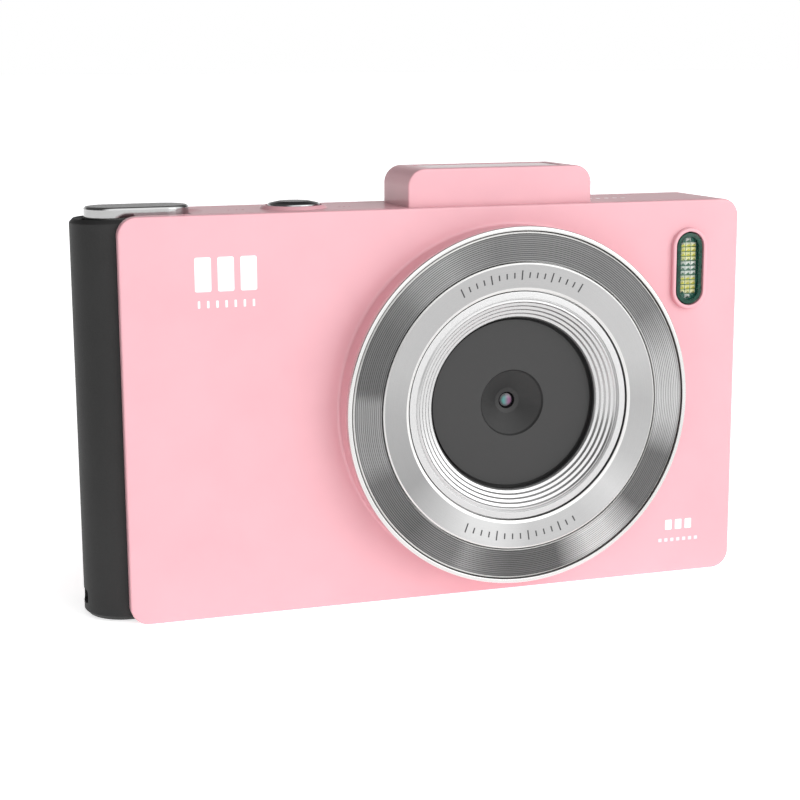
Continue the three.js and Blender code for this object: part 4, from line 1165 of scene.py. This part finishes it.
def flat_ring():
    outside = TURNED_IN - RING_GAP

    def cut_edge(point):
        return not DISH_IN < from_lens(point)[0] < DISH_OUT

    lens_turned("engraved_ring", [
        (outside, RING_BACK), (outside, DISH_HIGH - CUT_DROP), (DISH_OUT, DISH_HIGH),
        (DISH_IN, DISH_LOW), (FLAT_IN, DISH_LOW - 0.2, 0.05), (FLAT_IN, RING_BACK),
    ], 192, [SATIN, CUT_EDGE], "flat_ring", second=cut_edge)


CONE_IN = 13.86
CONE_OUT = 17.05
CONE_FOOT = 2.09
CONE_TOP = FACE - low("ribbed_cone").y
RIBS = 5
LAND_OUT = FLAT_IN - 0.12


def ribbed_cone():
    step = (CONE_OUT - CONE_IN) / RIBS
    climb = (CONE_TOP - CONE_FOOT) / RIBS
    path = [(CONE_IN, 1.5)]
    for i in range(RIBS):
        r = CONE_IN + i * step
        h = CONE_FOOT + i * climb
        path.append((r, h, 0.08))
        path.append((r + 0.22, h + climb * 0.82, 0.08))
    path += [
        (CONE_OUT, CONE_TOP - 0.35), (CONE_OUT + 0.12, CONE_TOP - 0.35), (CONE_OUT + 0.18, CONE_TOP, 0.05),
        (LAND_OUT - 0.08, CONE_TOP, 0.08), (LAND_OUT, CONE_TOP - 0.4), (CARRIER_R, CONE_TOP - 0.4),
        (CARRIER_R, SEAT_TOP + GAP), (CONE_OUT + 0.35, SEAT_TOP + GAP), (CONE_IN + 1.44, 1.5),
    ]

    # The cone's inner wall is painted black: painted shade where the wall lies in shadow.
    def painted_shade_lip(point):
        radius, height = from_lens(point)
        return radius < CONE_IN + 0.05 and height < CONE_FOOT

    lens_turned(
        "stepped_cone", path, 160, [CONE_METAL, ENGRAVED_AND_PAINTED_SHADE], "ribbed_cone", 3, painted_shade_lip)


PLATE_R = size("lens_plate").x / 2
PLATE_FRONT = FACE - low("lens_plate").y
PLATE_GROOVE = 0.7               # depth of the dark groove between the plate and the cone
PLATE_FACE_R = CONE_IN - 0.4
NECK_R = 8.2
NECK_BACK = -2.4
EYE_R = 5.36
PUPIL_R = 1.35


def lens_plate():
    groove = PLATE_FRONT - PLATE_GROOVE
    lens_turned("dark_lens_plate", [
        (PUPIL_R, NECK_BACK), (NECK_R, NECK_BACK), (NECK_R, GAP), (PLATE_R, GAP), (PLATE_R, groove),
        (PLATE_FACE_R, groove), (PLATE_FACE_R, PLATE_FRONT, 0.1), (EYE_R, PLATE_FRONT, 0.08),
        (EYE_R - 0.25, PLATE_FRONT - 0.35, 0.1), (PUPIL_R + 0.7, -1.1, 0.15), (PUPIL_R, -1.3),
    ], 128, [LENS_BLACK, EYE_BLACK], "lens_plate",
        second=lambda point: from_lens(point)[0] < EYE_R)


GLASS_CROWN = 0.37               # how far the front element's middle stands above its edge


def lens_glass():
    r = size("lens_glass").x / 2
    back = FACE - high("lens_glass").y
    front = FACE - low("lens_glass").y
    dome = [(r * u, front - GLASS_CROWN * (1 - v)) for u, v in arc(0, 0, 1, 0, 1, 8)]
    dome[-1] = (0, front)
    lens_turned("front_element", [(0, back), (r, back), *dome], 64, GLASS, "lens_glass")


rim_ring()
turned_ring()
flat_ring()
ribbed_cone()
lens_plate()
lens_glass()


# ---------- fill light ----------
PANE_T = 0.25
TRAY_INSET = 0.25
FACET_INSET = 0.6                # a facet this close to the tray's rim is left out


def flash_pane():
    shell = Shell()
    near = low("flash_window").y
    far = near + PANE_T
    path = eased([(-0.05, far), (0, far - 0.05), (0, near, 0.15), (-0.8, near)], 4)
    for end in shell.rise(flash_outline, path, "y"):
        shell.cap(end)
    finished("light_pane", shell, PANE, "flash_window")


FACES_PER_FACET = 5              # the underside comes first
FACET_COLUMNS = 3
FACET_ROWS = 13
FACET_W = 0.97
FACET_H = 0.77
FACET_PROUD = 0.42
FACETS_BEHIND = 0.3              # from the pane's front to the facets' tips


def flash_reflector():
    """A green tray filled with small four-sided mirror facets."""
    shell = Shell()
    tips = low("flash_window").y + FACETS_BEHIND
    bed = tips + FACET_PROUD
    back = high("flash_reflector").y
    for end in shell.rise(flash_outline, [(-TRAY_INSET, back), (-TRAY_INSET, bed)], "y"):
        shell.cap(end)
    tray_faces = len(shell.bm.faces)
    for column in range(FACET_COLUMNS):
        for row in range(FACET_ROWS):
            x = FLASH.x + (column - (FACET_COLUMNS - 1) / 2) * FACET_W
            z = FLASH.z + (row - (FACET_ROWS - 1) / 2) * FACET_H
            if outside_flash(abs(x - FLASH.x) + FACET_W * 0.4, abs(z - FLASH.z), FACET_INSET):
                continue
            foot = shell.loop([
                (x + i * FACET_W * 0.45, bed - 0.01, z + j * FACET_H * 0.43)
                for i, j in ((-1, -1), (1, -1), (1, 1), (-1, 1))])
            shell.bridge(foot, shell.loop([(x, tips, z + FACET_H * 0.2)]))
            shell.bm.faces.new(foot)
    shell.bm.faces.ensure_lookup_table()
    # Each facet's lower face takes the darker copy, as painted shade.
    for i, face in enumerate(shell.bm.faces[tray_faces:]):
        face.material_index = 2 if i % FACES_PER_FACET == 0 else 1
    finished(
        "facet_reflector", shell, [TRAY_GREEN, FACET, FACET_UNDER_SHADE], "flash_reflector")


def outside_flash(dx, dz, inset):
    beyond = max(dz - (FLASH_H - FLASH_W) / 2, 0.0)
    return math.hypot(dx, beyond) > FLASH_W / 2 - inset


flash_pane()
flash_reflector()


# ---------- pieces that keep their CAD shape, with eased edges ----------
EASED = {
    "battery_door": (PINK, "pink_shell", 0.12),
    "memory_card": (DARK_PLASTIC, "dark_plastic", 0.08),
    "tripod_nut": (BRASS, "brass", 0.15),
    "usb_socket": (STEEL, "steel", 0.08),
    "card_socket": (STEEL, "steel", 0.08),
    "strap_bar": (STEEL, "steel", 0.08),
    "screw_bottom_1": (STEEL, "steel", 0.05),
    "screw_bottom_2": (STEEL, "steel", 0.05),
    "screw_side_1": (STEEL, "steel", 0.05),
    "screw_side_2": (STEEL, "steel", 0.05),
}
for node, (material, slot, width) in EASED.items():
    finished(f"{node}_eased", softened(from_cad(node), width), material, node)

KEPT = {
    "status_lamp": PANE, "lens_barrel": DARK_PLASTIC, "shutter_switch": DARK_PLASTIC,
    "power_switch": DARK_PLASTIC, "lcd_module": DARK_PLASTIC, "battery_holder": DARK_PLASTIC,
    "speaker": DARK_PLASTIC, "sensor_board": BOARD, "flash_board": BOARD, "top_board": BOARD,
    "main_board": BOARD, "door_pin": STEEL, "microphone": STEEL, "screw_board_1": STEEL,
    "screw_board_2": STEEL, "screw_board_3": STEEL, "battery_contact": BRASS,
    "key_membrane": SILICONE, "battery": WRAP,
}
for node, material in KEPT.items():
    mesh = frame["nodes"][node].data
    mesh.materials.clear()
    mesh.materials.append(material)


# ---------- printed marks, all plain shapes ----------
PRINT_T = 0.02


def printed(name, outlines, depth, axis, thickness, material, body=BODY_OF["front_cover"]):
    """Thin flat marks lying on a surface."""
    shell = Shell()
    for outline in outlines:
        loops = [shell.loop(placed(outline, d, axis)) for d in (depth, depth + thickness)]
        shell.close(*shell.skin(loops))
    finished(name, shell, material, body=body)


def bar(cx, cy, width, height, r=0.0):
    r = r or 0.2 * min(width, height)
    return rounded_rect(cx, cy, width, height, r, 4)


def front_marks():
    mark = Vector((LEFT + 16.0, 0, TOP - 8.9))
    blocks = [bar(mark.x + dx, mark.z, 2.5, 5.2, 0.3) for dx in (-3.5, 0.0, 3.5)]
    dashes = [bar(mark.x - 4.2 + i * 1.4, mark.z - 4.5, 0.35, 1.1, 0.1) for i in range(7)]
    corner = Vector((RIGHT - 9.5, 0, 8.2))
    count = [bar(corner.x - 1.8 + i * 1.8, corner.z, 1.2, 1.7, 0.15) for i in range(3)]
    row = [bar(corner.x - 3.3 + i * 1.1, corner.z - 2.6, 0.6, 0.6, 0.1) for i in range(7)]
    depth = FACE - PRINT_T
    printed("front_marks", blocks + dashes + count, depth, "y", PRINT_T, PRINT)
    printed("faint_marks", row, depth, "y", PRINT_T, FAINT_PRINT)
    top_row = [bar(HUMP.x + HUMP_W / 2 + 2.6 + i * 1.5, POWER.y, 0.7, 0.7, 0.2) for i in range(5)]
    printed("top_marks", top_row, TOP, "z", PRINT_T, PRINT)


def ring_marks():
    """Evenly spaced ticks on the dished ring, in one run above the lens and one below."""
    middle = 20.9
    half_wide = 0.11
    sunk, proud = -0.05, 0.012
    shell = Shell()
    for start, end, count in ((62, 118, 17), (244, 296, 15)):
        for i in range(count):
            a = math.radians(start + (end - start) * i / (count - 1))
            out = RIGHTWARD * math.cos(a) + UPWARD * math.sin(a)
            along = UPWARD * math.cos(a) - RIGHTWARD * math.sin(a)
            reach = 0.75 if i % 4 == 0 else 0.45
            corners = [
                (middle - reach, -half_wide), (middle + reach, -half_wide),
                (middle + reach, half_wide), (middle - reach, half_wide)]
            shell.close(*shell.skin([
                shell.loop([
                    LENS_AT + out * r + along * side + FORWARD * (dish_height(r) + lift)
                    for r, side in corners])
                for lift in (sunk, proud)]))
    finished("ring_ticks", shell, ENGRAVED_AND_PAINTED_SHADE, body=BODY_OF["flat_ring"])


def triangle(way, reach):
    """A triangle about the origin that points along (x, z)."""
    heading = math.atan2(way.z, way.x)
    return [
        (reach * math.cos(heading + turn), reach * math.sin(heading + turn))
        for turn in (0, math.tau / 3, -math.tau / 3)
    ]


def key_marks():
    """Arrows on the four keys round the middle one, and simple shapes on the others."""
    marks = {
        "key_ok": [circle(0, 0, 0.5, 24)],
        "key_menu": [bar(0, dz, 1.7, 0.28) for dz in (-0.6, 0, 0.6)],
        "key_mode": [bar(0, 0, 1.3, 1.3, 0.3)],
        "key_play": [triangle(-RIGHTWARD, 0.9)],
        "key_delete": [bar(0, 0, 1.6, 0.32)],
    }
    for node in KEY_NAMES:
        at = mid(node)
        outlines = marks.get(node) or [triangle(at - mid("key_ok"), 0.9)]
        moved = [[(at.x + u, at.z + v) for u, v in outline] for outline in outlines]
        depth = high(node).y - KEY_DISH - PRINT_T / 2
        printed(f"{node}_mark", moved, depth, "y", 1.5 * PRINT_T, ENGRAVED_AND_PAINTED_SHADE, BODY_OF[node])


front_marks()
ring_marks()
key_marks()


# ---------- floor, world and lights ----------
FLOOR_HALF = 30000               # the floor reaches this far each way
FLOOR_GLOW = 0.70


def floor():
    shell = Shell()
    corners = [(i * FLOOR_HALF, j * FLOOR_HALF, 0) for i, j in ((-1, -1), (1, -1), (1, 1), (-1, 1))]
    shell.bm.faces.new(shell.loop(corners))
    bmesh.ops.scale(shell.bm, vec=(MM,) * 3, verts=shell.bm.verts)
    mesh = bpy.data.meshes.new("floor")
    shell.bm.to_mesh(mesh)
    made = bpy.data.objects.new("floor", mesh)
    SCENE.collection.objects.link(made)
    material, tree, shader, place = new_material("pale_floor")
    cloud = noise(tree, place, 300.0, 2.0)
    tone = between(tree, cloud, (0.90, 0.90, 0.90), (0.94, 0.94, 0.94))
    tree.links.new(tone, shader.inputs["Base Color"])
    shader.inputs["Roughness"].default_value = 0.9
    shader.inputs["Specular IOR Level"].default_value = 0.0
    shader.inputs["Emission Color"].default_value = (1, 1, 1, 1)
    shader.inputs["Emission Strength"].default_value = FLOOR_GLOW
    mesh.materials.append(material)


FRONT_LIGHT = 1.75               # brightness of the studio wall the object faces
DIM_LIGHT = 0.12                 # and at its sides and ceiling
FRONT_WAY = Vector((0.45, -0.85, 0.25))
FRONT_SPREAD = (0.25, 0.80)      # cosines of the angles where that wall starts and is full
BACKDROP = 0.9                   # pale backdrop standing behind the object
BACKDROP_SPREAD = (0.55, 0.80)   # it starts and is full here, as shares of straight behind
BACKDROP_TOP = (0.20, 0.45)      # and fades out between these sines of the height angle
HORIZON = (0.065, 0.085)         # as the pale band beyond the floor does between these


def world():
    """A bright wall in front, a dim room, a pale backdrop, and white wherever the camera looks."""
    made = bpy.data.worlds.new("studio")
    SCENE.world = made
    made.use_nodes = True
    tree = made.node_tree
    background = tree.nodes["Background"]
    direction = add_node(tree, "ShaderNodeTexCoord").outputs["Generated"]
    parts = add_node(tree, "ShaderNodeSeparateXYZ", {0: direction}).outputs
    towards = add_node(
        tree, "ShaderNodeVectorMath", {0: direction, 1: FRONT_WAY.normalized()}, operation="DOT_PRODUCT")
    front = eased_range(tree, towards.outputs["Value"], 0.0, 1.0, *FRONT_SPREAD)
    wall = compute(tree, "MULTIPLY_ADD", front, FRONT_LIGHT - DIM_LIGHT, DIM_LIGHT)
    horizon = eased_range(tree, parts["Z"], 1.0, 0.0, *HORIZON)
    behind = eased_range(tree, parts["Y"], 0.0, BACKDROP, *BACKDROP_SPREAD)
    lower = eased_range(tree, parts["Z"], 1.0, 0.0, *BACKDROP_TOP)
    backdrop = compute(tree, "MULTIPLY", behind, lower)
    level = compute(tree, "MAXIMUM", wall, compute(tree, "MAXIMUM", horizon, backdrop))
    seen = compute(tree, "MAXIMUM", level, add_node(tree, "ShaderNodeLightPath").outputs["Is Camera Ray"])
    shade = add_node(tree, "ShaderNodeCombineColor", {0: seen, 1: seen, 2: seen}).outputs[0]
    tree.links.new(shade, background.inputs["Color"])
    background.inputs["Strength"].default_value = 1.0


def softbox(name, place, aim, width, height, watts):
    data = bpy.data.lights.new(name, "AREA")
    data.shape = "RECTANGLE"
    data.size = width
    data.size_y = height
    data.energy = watts
    made = bpy.data.objects.new(name, data)
    SCENE.collection.objects.link(made)
    made.location = place
    made.rotation_euler = (Vector(aim) - Vector(place)).to_track_quat("-Z", "Y").to_euler()


CENTRE = (0.0, 0.0, 0.034)
floor()
world()
softbox("key", (0.55, -0.75, 0.30), CENTRE, 0.6, 0.6, 1.6)
SCENE.view_settings.view_transform = "Standard"
